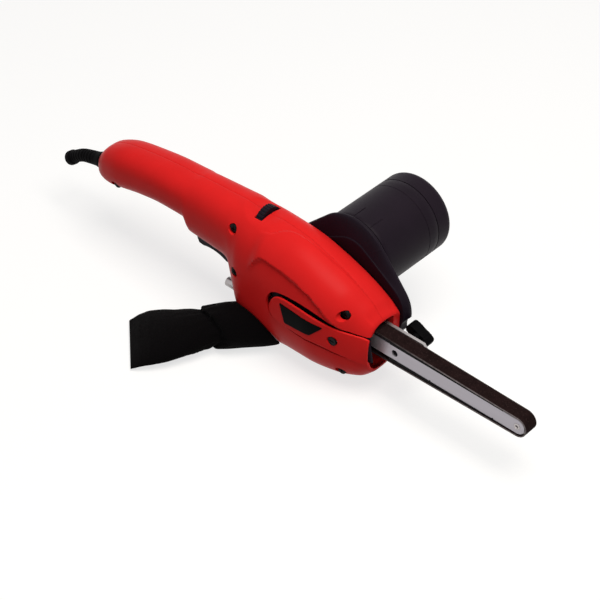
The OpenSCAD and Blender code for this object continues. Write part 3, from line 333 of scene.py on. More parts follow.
def drum_faces(n):
    """Faces of a solid between two rings of n points."""
    return [list(range(n))[::-1], list(range(n, 2 * n))] + [[i, (i + 1) % n, n + (i + 1) % n, n + i] for i in range(n)]


def prism(outline, y0, y1):
    """A flat outline in x and z as a cutter between two values of y."""
    return mesh_object("cutter", [(x, y, z) for y in (y0, y1) for x, z in outline], drum_faces(len(outline)))


def circle(x, z, r, n=48):
    """A round outline in x and z."""
    return [(x + r * math.cos(2 * math.pi * i / n), z + r * math.sin(2 * math.pi * i / n)) for i in range(n)]


def rod(start, direction, r, length, n=48):
    """A round cutter along any direction."""
    d = Vector(direction).normalized()
    side = d.orthogonal().normalized()
    up = d.cross(side)
    ring = [side * math.cos(2 * math.pi * i / n) * r + up * math.sin(2 * math.pi * i / n) * r for i in range(n)]
    return mesh_object("cutter", [tuple(Vector(start) + d * t + q) for t in (0, length) for q in ring], drum_faces(n))


def turned(outline, x, z, n):
    """Rings of n points round a line along y, from distances to it and values of y."""
    t = np.linspace(0, 2 * math.pi, n, endpoint=False)
    return np.concatenate([np.stack([x + r * np.cos(t), np.full(n, float(y)), z + r * np.sin(t)], -1)
                           for r, y in outline])


def ring_faces(count, rows, columns):
    """Quads over rows of points that also close from the last row to the first."""
    return [[i % count for i in f] for f in grid_faces(rows + 1, columns)]


def block(x0, x1, y0, y1, z0, z1):
    """A box-shaped cutter."""
    return prism([(x0, z0), (x1, z0), (x1, z1), (x0, z1)], y0, y1)


# The red housing: smooth sections from rear to front, each with x, right and left half-width, top and bottom

SECTIONS = np.array([
    [-230, 7, 7, 22, 9], [-226, 12.5, 12.5, 31, 5], [-216, 16.5, 16.5, 40.5, 4], [-198.2, 19, 19, 47.5, 8],
    [-174.88, 19.5, 19.5, 51.5, 13.5], [-149.97, 20, 20, 54.5, 17], [-124, 20.5, 20.5, 56, 17.5],
    [-117.5, 21, 21, 57, 5.5], [-100, 22, 22, 58, 5], [-80, 23.5, 23, 59, 4.5], [-72, 24.5, 24, 59.5, 0],
    [-64, 27, 25.5, 60, -24], [-56, 30.5, 27, 60, -44], [-46, 32, 28, 60, -50], [-24, 33, 28, 59, -49],
    [-8, 33, 28, 57, -47], [15, 33, 28, 50.5, -46], [40, 29, 28, 40, -43], [57, 22, 28, 29, -38],
    [67, 17, 26.5, 20, -29],
], float)
REAR, NOSE = SECTIONS[0, 0], SECTIONS[-1, 0]
WALL = 2.5
SQUARE = 2.5  # how square the sections are: 2 is an ellipse
SEAM_HALF = 0.08
BEYOND = 60  # where cutters end, well outside the part
RISE = np.diff(SECTIONS, axis=0)[:, 1:] / np.diff(SECTIONS[:, :1], axis=0)
A, B = RISE[:-1], RISE[1:]
SLOPE = np.vstack([RISE[:1], np.where(A * B > 0, 2 * A * B / np.where(A + B == 0, 1, A + B), 0), RISE[-1:]])


def profile(k, x):
    """1 right and 2 left half-width, 3 top and 4 bottom at x."""
    x = np.clip(np.asarray(x, float), REAR, NOSE)
    i = np.clip(np.searchsorted(SECTIONS[:, 0], x, side="right") - 1, 0, len(SECTIONS) - 2)
    w = SECTIONS[i + 1, 0] - SECTIONS[i, 0]
    t = (x - SECTIONS[i, 0]) / w
    a, b, m, n = SECTIONS[i, k], SECTIONS[i + 1, k], SLOPE[i, k - 1] * w, SLOPE[i + 1, k - 1] * w
    return (2 * t**3 - 3 * t**2 + 1) * a + (t**3 - 2 * t**2 + t) * m + (3 * t**2 - 2 * t**3) * b + (t**3 - t**2) * n


def power(v):
    """A cosine or sine, as a superellipse takes it."""
    return np.sign(v) * np.abs(v) ** (2 / SQUARE)


def middle(x):
    """Height of the housing's middle."""
    return (profile(3, x) + profile(4, x)) / 2


def half(x):
    """Half of the housing's height."""
    return (profile(3, x) - profile(4, x)) / 2


def skin(x, a, grow):
    """Point of the housing's surface at x and ring angle a in degrees: 90 top, 180 right, 270 bottom."""
    c, s = np.cos(np.radians(a)), np.sin(np.radians(a))
    y = power(c) * (np.where(c > 0, profile(2, x), profile(1, x)) + grow)
    z = middle(x) + power(s) * (half(x) + grow)
    return np.stack([x + 0 * y, y, z], -1)


def right_side(x, z, grow):
    """How far the right side of the housing grown by an amount lies from the middle, at x and z."""
    share = np.abs((np.asarray(z, float) - middle(x)) / (half(x) + grow))
    return (profile(1, x) + grow) * np.maximum(0, 1 - np.minimum(1, share) ** SQUARE) ** (1 / SQUARE)


def outside(p, grow):
    """Above zero where a point lies outside the housing grown by an amount."""
    x, y, z = np.moveaxis(np.asarray(p, float), -1, 0)
    wide = np.where(y > 0, profile(2, x), profile(1, x)) + grow
    return np.abs(y / wide) ** SQUARE + np.abs((z - middle(x)) / (half(x) + grow)) ** SQUARE - 1


# Edges of the raised shoulder on the right side, as x and ring angle
UPPER = np.array([[-40, 118], [-33, 114], [-29.6, 110.4], [-26.1, 103.1], [-21.5, 96.8], [-15.4, 94.2], [-7, 93.1],
                  [13.7, 92.6], [35.3, 91.2], [70, 91]])
LOWER = np.array([[-46, 172], [-41, 164], [-36, 154], [-30, 145.5], [-24, 144.2], [-5.5, 145.2], [6.6, 145.2],
                  [18.8, 145.9], [28.7, 150.6], [36.8, 156.2], [44, 159], [70, 160]])
SHOULDER_FROM, SHOULDER_TO = -44, 54
SHOULDER_STEP, SHOULDER_SWELL = 1.4, 1.7  # height at its upper edge, and what it gains towards the lower one
NOSE_EDGE, NOSE_STEP = 58.6, 0.9
SCOOP_X, SCOOP_LONG, SCOOP_WIDE, SCOOP_DEPTH = -52, 18, 14, 1.2
SEAM_WIDE, SEAM_DEPTH = 1.2, 0.2  # the width in degrees


def relief(x, a):
    """Height of the moulded shoulder, the nose's edge, the scoop round the speed wheel and the seam of the halves."""
    a1, a2 = np.interp(x, *UPPER.T), np.interp(x, *LOWER.T)
    along = smooth((x - SHOULDER_FROM) / 12) * smooth((SHOULDER_TO - x) / 16)
    rise = SHOULDER_STEP * smooth((a - a1 + 0.6) / 2)
    rise = rise + SHOULDER_SWELL * np.clip((a - a1) / np.maximum(a2 - a1, 1), 0, 1.2)
    shoulder = along * rise * smooth((a2 + 1 - a) / 2.4)
    top = smooth((34 - np.abs(a - 88)) / 10)
    nose = -NOSE_STEP * smooth((x - NOSE_EDGE) / 1.9) * top
    y = np.abs(np.cos(np.radians(a))) ** (2 / SQUARE) * 28
    r = np.hypot((x - SCOOP_X) / SCOOP_LONG, np.where(np.sin(np.radians(a)) > 0, y / SCOOP_WIDE, 9))
    scoop = -SCOOP_DEPTH * smooth((1.1 - r) / 0.55)
    edge = np.minimum(np.abs(a - 90), np.minimum(np.abs(a - 270), np.abs(a + 90)))
    seam = -SEAM_DEPTH * smooth((SEAM_WIDE - edge) / SEAM_WIDE)
    return shoulder + nose + scoop + seam


def half_shell(name, side):
    """One half of the housing, a closed shell: side -1 right, 1 left."""
    end, tip = 6, 2  # lengths of the round rear end and of the rounded nose edge
    xs = np.concatenate([REAR + end * (1 - np.cos(np.linspace(0, math.pi / 2, 8)))[:-1],
                         np.arange(REAR + end, NOSE - tip, 1.9),
                         NOSE - tip + tip * np.sin(np.linspace(0, math.pi / 2, 7))])
    spread = np.concatenate([[0, 0.8, 1.6], np.linspace(3, 177, 150), [178.4, 179.2, 180]])
    angles = spread + (90 if side < 0 else -90)
    X, N = np.meshgrid(xs, angles, indexing="ij")
    rounding = np.where(X > NOSE - tip, np.sqrt(np.maximum(0, tip**2 - (X - NOSE + tip) ** 2)) - tip, 0) * 0.7
    outer = skin(X, N, relief(X, N) + rounding)
    xi = REAR + WALL + (X - REAR) * (NOSE - REAR - WALL) / (NOSE - REAR)
    inner = skin(xi, N, -WALL)
    if side > 0:  # a thick wall beside the arm
        inner[..., 1] = np.minimum(inner[..., 1], np.interp(xi, [54, 60], [40, 12.5]))
    for s in (outer, inner):
        s[..., 1] += side * SEAM_HALF
    n, m = X.shape
    points = np.concatenate([outer.reshape(-1, 3), inner.reshape(-1, 3),
                             [[x, side * SEAM_HALF, middle(x)] for x in (REAR, REAR + WALL)]])
    k = n * m
    faces = grid_faces(n, m, False) + [f[::-1] for f in grid_faces(n, m, False, k)]
    for i in range(n - 1):
        for j in (0, m - 1):
            faces.append([i * m + j, (i + 1) * m + j, k + (i + 1) * m + j, k + i * m + j])
    for j in range(m - 1):
        faces.append([(n - 1) * m + j, (n - 1) * m + j + 1, k + (n - 1) * m + j + 1, k + (n - 1) * m + j])
        faces.append([2 * k, j, j + 1])
        faces.append([2 * k + 1, k + j + 1, k + j])
    for j in (0, m - 1):
        faces.append([2 * k, j, k + j, 2 * k + 1])
    return piece(name, points, faces, "housing", "red_plastic")


# Outlines in x and z from the front, round the rear and back to the front: the belt cover and its opening, which leaves
# a wide dark groove above the cover and a narrow one below it
COVER = [(67.4, 8.5), (62.8, 10.2), (56.3, 11.2), (48.7, 12.4), (43.4, 13.3), (38.8, 13.8), (32.8, 14.7), (25.6, 16.1),
         (16.6, 17.6), (7.1, 18.3), (-2.6, 18.5), (-8.7, 17.7), (-13.4, 14.6), (-16.2, 9.8), (-17.2, 4.4),
         (-16.5, -0.6), (-13.3, -4.2), (-8, -6), (0, -6.6), (8, -6.8), (18, -7), (27, -7), (35, -7.5), (44, -8.8),
         (53, -11.2), (61, -14), (67.4, -16)]
OPENING = [(75, 8.9), (62, 11.6), (55.3, 12.9), (47.6, 14.6), (42.3, 15.7), (38, 16.6), (32.3, 18.4), (23.8, 20.9),
           (14.8, 22.3), (5.4, 22.5), (-5.3, 21.9), (-12.5, 20.3), (-17.4, 16.8), (-20, 11.5), (-20.7, 6), (-19.2, 0.6),
           (-15, -4.4), (-9, -6.6), (-1, -7.3), (6, -8.2), (16, -8.8), (27, -8.9), (35, -9.3), (44, -10.5), (53, -12.2),
           (61, -13.4), (75, -17.2)]


def curve(points, n):
    """Points evenly along a smooth line through the given ones."""
    p = np.asarray(points, float)
    t = np.concatenate([[0], np.cumsum(np.linalg.norm(np.diff(p, axis=0), axis=1))])
    d = np.gradient(p, t, axis=0)
    s = np.linspace(0, t[-1], n)
    i = np.clip(np.searchsorted(t, s, side="right") - 1, 0, len(p) - 2)
    w = (t[i + 1] - t[i])[:, None]
    u = ((s - t[i])[:, None]) / w
    return ((2 * u**3 - 3 * u**2 + 1) * p[i] + (u**3 - 2 * u**2 + u) * w * d[i]
            + (3 * u**2 - 2 * u**3) * p[i + 1] + (u**3 - u**2) * w * d[i + 1])


SCREWS = [(-203, 13), (-65.5, 46), (-57.5, 12.5), (47, 25), (46, -31)]
COVER_SCREW = (42.5, 2)
HEAD_R, RECESS_R = 3.7, 4.2
ROD_Y, ROD_Z = -14, -18  # line of the release rod and its spring
BOOT = np.array([-228.0, 0.0, 15.5])  # where the boot leaves the handle
BOOT_DIRECTION = (-math.cos(math.radians(20)), 0, -math.sin(math.radians(20)))
PORT = np.array([-38.0, -24.0, -31.5])  # where the dust port leaves the belly
PORT_ALONG = np.array([math.cos(PORT_TURN), math.sin(PORT_TURN), 0])
COVER_FINE = np.concatenate([curve(COVER, 120), [(67.4, -10), (67.4, -4), (67.4, 2)]])
# Rooms in the housing, from and to in x, y and z
TRIGGER_ROOM = (-119, -81, -8.6, 8.6, -20, 10.5)
WHEEL_ROOM = (-53.8, -46.2, -11, 11, 52, 80)


def shared_cuts():
    """Openings across both halves: the trigger's, the speed wheel's and the boot's."""
    return [block(*TRIGGER_ROOM), block(*WHEEL_ROOM),
            rod(BOOT - 20 * np.array(BOOT_DIRECTION), BOOT_DIRECTION, r=7.8, length=60)]


def screw_seat(x, z):
    """Where the outer face of a screw's head lies, just below the rim of its recess."""
    rim = np.array(circle(x, z, HEAD_R, 24))
    return 0.5 - float(right_side(rim[:, 0], rim[:, 1], 0).mean())


def screw(x, z):
    """A pan head with a cross recess, and its shank."""
    y = screw_seat(x, z)
    shank_r, end = 1.5, 9 - y
    outline = [(0, 0), (2.4, 0), (3.3, 0.25), (3.62, 0.7), (HEAD_R, 1.2), (HEAD_R, 2.6), (shank_r, 2.6), (shank_r, end),
               (0, end)]
    points = turned([(r, y + h) for r, h in outline], x, z, 32)
    obj = piece("housing_screw", points, grid_faces(len(outline), 32), "housing", "screw_black", merge=0.001)
    cut(obj, [block(x - u, x + u, y - 1, y + 1, z - v, z + v) for u, v in ((2, 0.45), (0.45, 2))])
    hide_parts("housing_screws")


right = half_shell("housing_right", -1)
recesses = [prism(circle(x, z, RECESS_R), -BEYOND, screw_seat(x, z) + 2.4) for x, z in SCREWS]
for x, z in SCREWS:
    screw(x, z)
cut(right, shared_cuts() + recesses + [
    prism([tuple(q) for q in curve(OPENING, 140)], -BEYOND, -8.5),
    rod((-100, ROD_Y, ROD_Z), (1, 0, 0), r=5, length=43), rod((-100, ROD_Y, ROD_Z), (1, 0, 0), r=3.05, length=60),
    rod(PORT - PORT_ALONG * 14, PORT_ALONG, r=15.3, length=60)])
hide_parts("right_housing")

# The black collar: outlines round circles of x, z and radius, narrow where it leaves the red housing
MOTOR = np.array([13.0, 35.0])  # the motor axis, in x and z
FRONT = [(17, 35, 21), (44, 10, 26.5), (-25, 31, 5), (-3, -7, 22.2)]
WIDE = [(13, 35, 36.5), (44.5, 10.2, 28.5), (-25, 31, 13), (-3, -7, 23)]
FRONT_Y, WIDE_Y = 20.5, 25.5


def collar_reach(circles, g, n):
    """Distances of an outline grown by g, at even angles round the motor axis."""
    t = np.linspace(0, 2 * math.pi, n, endpoint=False)
    way = np.stack([np.cos(t), np.sin(t)], -1)
    many = np.linspace(0, 2 * math.pi, 721)[:-1]
    normals = np.stack([np.cos(many), np.sin(many)], -1)
    support = np.max([normals @ (np.array(c[:2]) - MOTOR) + c[2] + g for c in circles], axis=0)
    facing = way @ normals.T
    return np.where(facing > 1e-6, support[None] / np.maximum(facing, 1e-6), 1e9).min(1)


def round_motor(reach, y):
    """Points at the given distances from the motor axis."""
    t = np.linspace(0, 2 * math.pi, len(reach), endpoint=False)
    return np.stack([MOTOR[0] + reach * np.cos(t), np.full(len(reach), float(y)), MOTOR[1] + reach * np.sin(t)], -1)


def collar_cutter(g, n=180):
    """The room that the collar takes in the red housing."""
    front, wide = collar_reach(FRONT, g, n), collar_reach(WIDE, g, n)
    rows = [round_motor(front, FRONT_Y - g)]
    rows += [round_motor(front + (wide - front) * math.sin(t * math.pi / 2), FRONT_Y + (WIDE_Y - FRONT_Y) * t - g)
             for t in np.linspace(0, 1, 7)]
    rows.append(round_motor(wide, BEYOND))
    k = (len(rows) - 1) * n
    faces = grid_faces(len(rows), n) + [list(range(n))[::-1], list(range(k, k + n))]
    return mesh_object("cutter", np.concatenate(rows), faces)


left = half_shell("housing_left", 1)
lock_room = prism(circle(-97, 30, 5.3), 10, 40)
cut(left, shared_cuts() + [collar_cutter(0.35), lock_room])
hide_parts("left_housing")


# Belt cover: a plate that follows the housing, standing proud, with rounded edges
def conform(outline, spine, steps, thickness, edge, lift):
    """A plate over an outline on the housing's right side, with its edge rounded off and a back.

    Its rows spread from a spine, given by its two ends in x and its z.
    """
    q = np.asarray(outline, float)
    n = len(q)
    centre = np.stack([np.clip(q[:, 0], *spine[0]), np.full(n, spine[1])], -1)
    width = np.linalg.norm(q - centre, axis=1)[:, None]
    rows = []
    rim = 0.15  # share of the way out where the rows lie closer, for the rounded edge
    close = 1 - rim * (1 - np.sin(np.linspace(0, math.pi / 2, 9)[1:]))
    for s in np.concatenate([np.linspace(0, 1 - rim, steps), close]):
        p = centre + (q - centre) * s
        inset = np.clip((1 - s) * width[:, 0], 0, edge)
        drop = edge - np.sqrt(np.maximum(0, edge**2 - (edge - inset) ** 2))
        rows.append(np.stack([p[:, 0], -right_side(p[:, 0], p[:, 1], lift - drop), p[:, 1]], -1))
    back = rows[-1].copy()
    back[:, 1] += thickness
    rows.append(back)
    rows += [np.stack([r[:, 0], r[:, 1] + thickness, r[:, 2]], -1) for r in (rows[steps - 2], rows[0])]
    return np.concatenate(rows), grid_faces(len(rows), n)


COVER_LIFT = 0.9
points, faces = conform(COVER_FINE, spine=((-5, 30), 4), steps=9, thickness=0.8, edge=0.6, lift=COVER_LIFT)
cover = piece("belt_cover_shell", points, faces, "housing", "red_plastic", angle=50, merge=0.01)
x, z = COVER_SCREW
cut(cover, [prism(circle(x, z, RECESS_R), -BEYOND, float(-right_side(x, z, COVER_LIFT)) + 4)], angle=50)
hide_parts("belt_cover")

# A lip set deep behind the groove round the cover, in black plastic as painted shade on top of the real shadow in the
# deep groove: the opening's outline, higher along its top and lower along its bottom
OPENING_TOP, LIP_OVER = 12, 1.5
lip = [(x, z + (LIP_OVER if i < OPENING_TOP else -LIP_OVER)) for i, (x, z) in enumerate(OPENING) if x < 63]
lip = curve(lip + [(66.5, -18)], 100)
points, faces = conform(lip, spine=((-5, 40), 4), steps=7, thickness=0.8, edge=0.3, lift=-5.5)
piece("cover_lip_painted_shade", points, faces, "housing", "black_plastic", angle=50, merge=0.01)

# Bare nameplate, with its corners rounded
PLATE = [(-6.3, 14.2), (34.5, 10.9), (23.5, -0.9), (-0.8, -2.6)]
CORNER = 1.2  # how far from a corner its rounding starts
corner = []
for i, c in enumerate(PLATE):
    a, b = np.array(PLATE[i - 1], float), np.array(PLATE[(i + 1) % 4], float)
    c = np.array(c, float)
    u, v = (a - c) / np.linalg.norm(a - c), (b - c) / np.linalg.norm(b - c)
    corner += [c + u * CORNER, c + (u + v) * 0.25, c + v * CORNER]
outline = []
for i, c in enumerate(corner):
    d = corner[(i + 1) % len(corner)]
    outline += [c + (d - c) * t for t in np.linspace(0, 1, 2 if i % 3 != 2 else 16)[:-1]]
points, faces = conform(outline, spine=((4, 22), 5.5), steps=7, thickness=0.5, edge=0.4, lift=1.5)
piece("nameplate_bare", points, faces, "housing", "nameplate", ("nameplate",), angle=50, merge=0.01)

# Black motor housing: a fairing from the red housing, a groove, then the barrel
SPIN = 360  # points round the motor, one for each degree
RIBS = (57, 38, 96)  # where ribs stand on the fairing, in degrees
BARREL_R, BORE_R = 33.5, 31
RIM = 1.2  # rounding of the fairing's outer edge


def barrel_rings():
    """Rings from the red housing outwards, as distances from the motor axis and y, and back along the inside."""
    front, wide = collar_reach(FRONT, 0, SPIN), collar_reach(WIDE, 0, SPIN)
    even = np.ones(SPIN)
    turn = np.arange(SPIN)
    rib = sum(np.clip(1.6 - np.abs(turn - a), 0, 1) for a in RIBS)
    rings = [(front - 4, FRONT_Y + 0.2), (front - 0.9, FRONT_Y), (front - 0.25, FRONT_Y + 0.2), (front, FRONT_Y + 0.6)]
    for t in np.linspace(0.1, 1, 12):
        r = front + (wide - front) * math.sin(t * math.pi / 2)
        rings.append((r + 0.5 * rib * math.sin(t * math.pi), FRONT_Y + 0.6 + (WIDE_Y - FRONT_Y - 0.6) * t))
    rings.append((wide, WIDE_Y + 1))
    for t in np.linspace(0, math.pi / 2, 6)[1:]:
        rings.append((wide - RIM + RIM * math.cos(t), WIDE_Y + 1 + RIM * math.sin(t)))
    for t in np.linspace(0.15, 1, 5):
        rings.append(((wide - RIM) * (1 - t) + 34.3 * t, 27.7 + 0.9 * t))
    groove = [(34.1, 28.9), (32.8, 29.0), (32.8, 30.1), (33.2, 30.2), (BARREL_R, 30.6)]
    barrel = [(BARREL_R, y) for y in np.linspace(34, 78, 12)]
    line = [(BARREL_R, 78.6), (33.25, 78.75), (33.25, 79.15), (BARREL_R, 79.3), (BARREL_R, 84)]
    end = [(BARREL_R, 89), (33.2, 89.7), (BORE_R, 89.7), (BORE_R, 40), (BORE_R, 28.2)]
    rings += [(r * even, y) for r, y in groove + barrel + line + end]
    rings += [(front - 2.6, 23), (6 * even, 22.6), (6 * even, FRONT_Y + 0.2)]
    return rings


rings = barrel_rings()
points = np.concatenate([round_motor(r, y) for r, y in rings])
motor = piece("motor_shell", points, ring_faces(len(points), len(rings), SPIN), "housing", "black_plastic", angle=42)


def barrel_slot(angle, inner, outer, width, y0, y1):
    """A straight slot across the barrel's wall at an angle round it."""
    a = math.radians(angle)
    u, v = np.array([math.cos(a), math.sin(a)]), np.array([-math.sin(a), math.cos(a)])
    c = [MOTOR + u * r + v * w * width / 2 for r, w in ((inner, -1), (outer, -1), (outer, 1), (inner, 1))]
    return prism([tuple(q) for q in c], y0, y1)


vents = [barrel_slot(-a, inner=28.5, outer=36.5, width=4, y0=74, y1=85) for a in (30, 60, 90, 120, 150)]
lines = [barrel_slot(a, inner=33.05, outer=36, width=0.7, y0=31.5, y1=45) for a in (68, 97)]
knob_room = prism(circle(80, 0, 11.4), 19, 32)  # for the tracking knob when the arm is pushed in
cut(motor, vents + lines + [knob_room], angle=42)
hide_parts("motor_housing")

# Boss over the drive shaft's outer bearing, on the collar's back
rows = [(15.8, 25), (15.6, 29), (15.2, 34.8)]
rows += [(13.2 + 2 * math.cos(a), 34.8 + 2 * math.sin(a)) for a in np.linspace(0, math.pi / 2, 7)[1:]] + [(0.01, 36.8)]
piece("bearing_boss", turned(rows, 0, 0, 72), grid_faces(len(rows), 72), "housing", "black_plastic", ("motor_housing",),
      angle=42, merge=0.02)


# Belt: a thin loop with soft edges
def belt_path(r0, r1, length, n):
    """Points and outward normals round the two rollers."""
    slope = math.asin((r0 - r1) / length)
    a = math.pi / 2 - slope
    arcs = [(0.0, r0, np.linspace(a, 2 * math.pi - a, n)), (length, r1, np.linspace(-a, a, n))]
    path, out = [], []
    for x, r, t in arcs:
        path += [(x + r * math.cos(q), r * math.sin(q)) for q in t]
        out += [(math.cos(q), math.sin(q)) for q in t]
    full, normal = [], []
    for i in range(len(path)):
        j = (i + 1) % len(path)
        d = math.dist(path[i], path[j])
        steps = max(1, int(d / 4))
        for s in range(steps):
            t = s / steps
            full.append([path[i][k] * (1 - t) + path[j][k] * t for k in (0, 1)])
            normal.append([out[i][k] * (1 - t) + out[j][k] * t for k in (0, 1)])
    return np.array(full), np.array(normal)


low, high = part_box("tip_roller")
tip_x = float(((low + high) / 2)[0] - ORIGIN[0]) / MM
line, normal = belt_path(r0=11.3, r1=7.55, length=tip_x, n=30)
flat = BELT_HALF - 0.2
section = [(-BELT_HALF, 0.25), (-flat, 0), (flat, 0), (BELT_HALF, 0.25), (BELT_HALF, 0.75), (flat, 1), (3, 1), (0, 1),
           (-3, 1), (-flat, 1), (-BELT_HALF, 0.75)]
points = np.array([[q[0] + m[0] * h, y, q[1] + m[1] * h] for q, m in zip(line, normal) for y, h in section])
faces = ring_faces(len(points), len(line), len(section))
piece("belt_loop", points, faces, "arm", "abrasive", ("abrasive_belt",), angle=50)

# Strain-relief boot: bends down under its own weight, with rings and an open end
BOOT_ROWS, BOOT_BORE = 60, 3.4
boot_line = curve([(-222, 17.5), (-228, 15.5), (-236, 13.4), (-247, 10.6), (-257.6, 7.2), (-267, 1.6), (-274.2, -4)],
                  BOOT_ROWS)
step = np.gradient(boot_line, axis=0)
step /= np.linalg.norm(step, axis=1)[:, None]
far = np.concatenate([[0], np.cumsum(np.linalg.norm(np.diff(boot_line, axis=0), axis=1))])
thick = np.interp(far, [0, 12, 18, far[-1] - 6.2, far[-1] - 5.4, far[-1]], [7.4, 7.4, 6.1, 5.2, 6.3, 6.3])
thick = thick - 0.45 * (np.sin(far * 2 * math.pi / 3.6) > 0.55) * (far > 20) * (far < far[-1] - 8)
turn = np.linspace(0, 2 * math.pi, 40, endpoint=False)
rows = []
for i, r in [*enumerate(thick), *((i, BOOT_BORE) for i in reversed(range(BOOT_ROWS)))]:
    across = np.array([-step[i][1], step[i][0]])
    rows.append(np.stack([boot_line[i][0] + across[0] * r * np.cos(turn), r * np.sin(turn),
                          boot_line[i][1] + across[1] * r * np.cos(turn)], -1))
points = np.concatenate(rows)
piece("boot", points, ring_faces(len(points), len(rows), 40), "housing", "black_rubber", ("cord_boot",), angle=40)

# Tip pin: a rivet with a hollow end
low, high = ((np.array(v) - ORIGIN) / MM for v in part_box("tip_pin"))
x, z = (low + high)[[0, 2]] / 2
r = (high - low)[0] / 2
rows = [(0.01, 2.6), (1.1, 2.4), (1.15, 0.3), (1.4, 0), (r - 0.3, 0), (r, 0.3)]
rows += [(q, high[1] - low[1] - h) for q, h in rows[::-1]]
points = turned([(q, low[1] + h) for q, h in rows], x, z, 40)
piece("tip_rivet", points, grid_faces(len(rows), 40), "arm", SLOTS["tip_pin"], ("tip_pin",), angle=40, merge=0.03)

# Thick end of the release rod
t = np.linspace(0, 2 * math.pi, 48, endpoint=False)
rows = [(-79, 0.01), (-79, 3.2), (-78.8, 3.7), (-78.3, 4), (-66.4, 4), (-66, 3.8), (-65.8, 3.4), (-65.8, 0.01)]
points = np.concatenate([np.stack([np.full(48, float(x)), ROD_Y + r * np.sin(t), ROD_Z + r * np.cos(t)], -1)
                         for x, r in rows])
piece("rod_end", points, grid_faces(len(rows), 48), "carriage", "steel", angle=40, merge=0.03)

# Tracking knob: a thumb bar with gripping grooves on a round hub
low, high = ((np.array(v) - ORIGIN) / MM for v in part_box("tracking_knob"))
BAR_LONG, BAR_WIDE = 10.8, 4.8  # half-length and half-width
GROOVE_PITCH, GROOVED = 2.6, 9  # spacing of the grooves, and how far from the middle they go
lean = math.radians(-25)
t = np.linspace(0, 2 * math.pi, 120, endpoint=False)
c, v = np.cos(t), np.sin(t)
bar = np.stack([BAR_LONG * np.sign(c) * np.abs(c) ** 0.5, BAR_WIDE * np.sign(v) * np.abs(v) ** 0.5], -1)
bar[:, 1] *= 1 - 0.07 * (np.cos(bar[:, 0] * 2 * math.pi / GROOVE_PITCH) > 0.2) * (np.abs(bar[:, 0]) < GROOVED)
bar = bar @ np.array([[math.cos(lean), math.sin(lean)], [-math.sin(lean), math.cos(lean)]])
hub = np.stack([np.cos(t + lean), np.sin(t + lean)], -1)
x, z = (low + high)[[0, 2]] / 2
rows = [(hub * 0.01, low[1]), (hub * 3.6, low[1]), (hub * 4, low[1] + 0.4), (hub * 4, high[1] - 6)]
rows += [(bar * q, high[1] + h)
         for q, h in ((0.9, -6), (0.97, -5.8), (1, -5.2), (1, 2), (0.97, 2.7), (0.9, 3), (0.01, 3))]
points = np.concatenate([np.stack([x + q[:, 0], np.full(120, y), z + q[:, 1]], -1) for q, y in rows])
piece("knob_bar", points, grid_faces(len(rows), 120), "knob", "black_rubber", ("tracking_knob",), angle=40, merge=0.2)


# Springs
def spring(name, start, along, r, wire, length, turns, replaces):
    """A round wire wound about a line."""
    d = Vector(along)
    u = d.orthogonal().normalized()
    v = d.cross(u)
    around = 28  # points of the wire in each turn
    n, k = turns * around + 1, 10
    points = []
    for i in range(n):
        a = 2 * math.pi * i / around
        out = u * math.cos(a) + v * math.sin(a)
        mid = Vector(start) + d * (wire + (length - 2 * wire) * i / (n - 1))
        for j in range(k):
            b = 2 * math.pi * j / k
            points.append(tuple(mid + out * (r + wire * math.cos(b)) + d * wire * math.sin(b)))
    faces = grid_faces(n, k) + [list(range(k))[::-1], list(range((n - 1) * k, n * k))]
    obj = piece(name, points, faces, "housing", "steel", (replaces,), angle=60)
    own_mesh(obj)


spring("tension_coil", (12.8, ROD_Y, ROD_Z), (1, 0, 0), r=3.65, wire=0.6, length=22.9, turns=7,
       replaces="tension_spring")
spring("trigger_coil", (-91, 0, 18.7), (0, 0, -1), r=3.2, wire=0.45, length=4.9, turns=3,
       replaces="trigger_spring")

# Dust bag: a lofted cloth shell, gathered at the neck, that sags onto the floor; shares of its length, with half-width
# and half-height there
BAG = np.array([[0, 19.3, 17.6], [0.21, 19.7, 17.5], [0.33, 19.4, 16.4], [0.38, 21.2, 14.9], [0.5, 25.7, 13.8],
                [0.72, 30.9, 10.9], [0.845, 31.9, 8.2], [0.925, 31, 5.4], [0.975, 29.8, 2.6], [1, 29, 1.1]])
BAG_START, BAG_LENGTH = 2.0, 102.6
FLOOR = -50.0
ACROSS = np.array([-math.sin(PORT_TURN), math.cos(PORT_TURN), 0])
ROWS, COLUMNS = 72, 96
BAG_GAP, BAG_WALL = 0.8, 0.8  # room to the housing, and thickness of the cloth


def curve_at(table, t, k):
    """A column of a table at shares t, with its corners smoothed."""
    q = np.interp(t, table[:, 0], table[:, k])
    for _ in range(3):
        q[..., 1:-1] = (q[..., :-2] + 2 * q[..., 1:-1] + q[..., 2:]) / 4
    return q


def bag_points(t, a):
    """Points of the bag at shares of its length and angles round it."""
    s = np.linspace(0, 1, 200)
    wide = np.interp(t, s, curve_at(BAG, s, 1))
    tall = np.interp(t, s, curve_at(BAG, s, 2))
    neck = np.exp(-((t - 0.34) / 0.07) ** 2)
    folds = 1 + 0.03 * neck * np.sin(a * 12 + 2 * np.sin(3 * a)) - 0.03 * neck
    folds = folds + 0.018 * np.exp(-((t - 0.2) / 0.08) ** 2) * np.sin(a * 7 + 1)
    folds = folds + 0.016 * smooth((t - 0.4) / 0.2) * np.sin(3 * a + 9 * t) * np.sin(5 * t + 1)
    mid = PORT + PORT_ALONG * (BAG_START + BAG_LENGTH * t)[..., None]
    p = mid + ACROSS * (wide * np.cos(a) * folds)[..., None]
    p[..., 2] = np.maximum(FLOOR + 0.6, FLOOR + 0.5 + tall * (1 + np.sin(a) * folds))
    return p


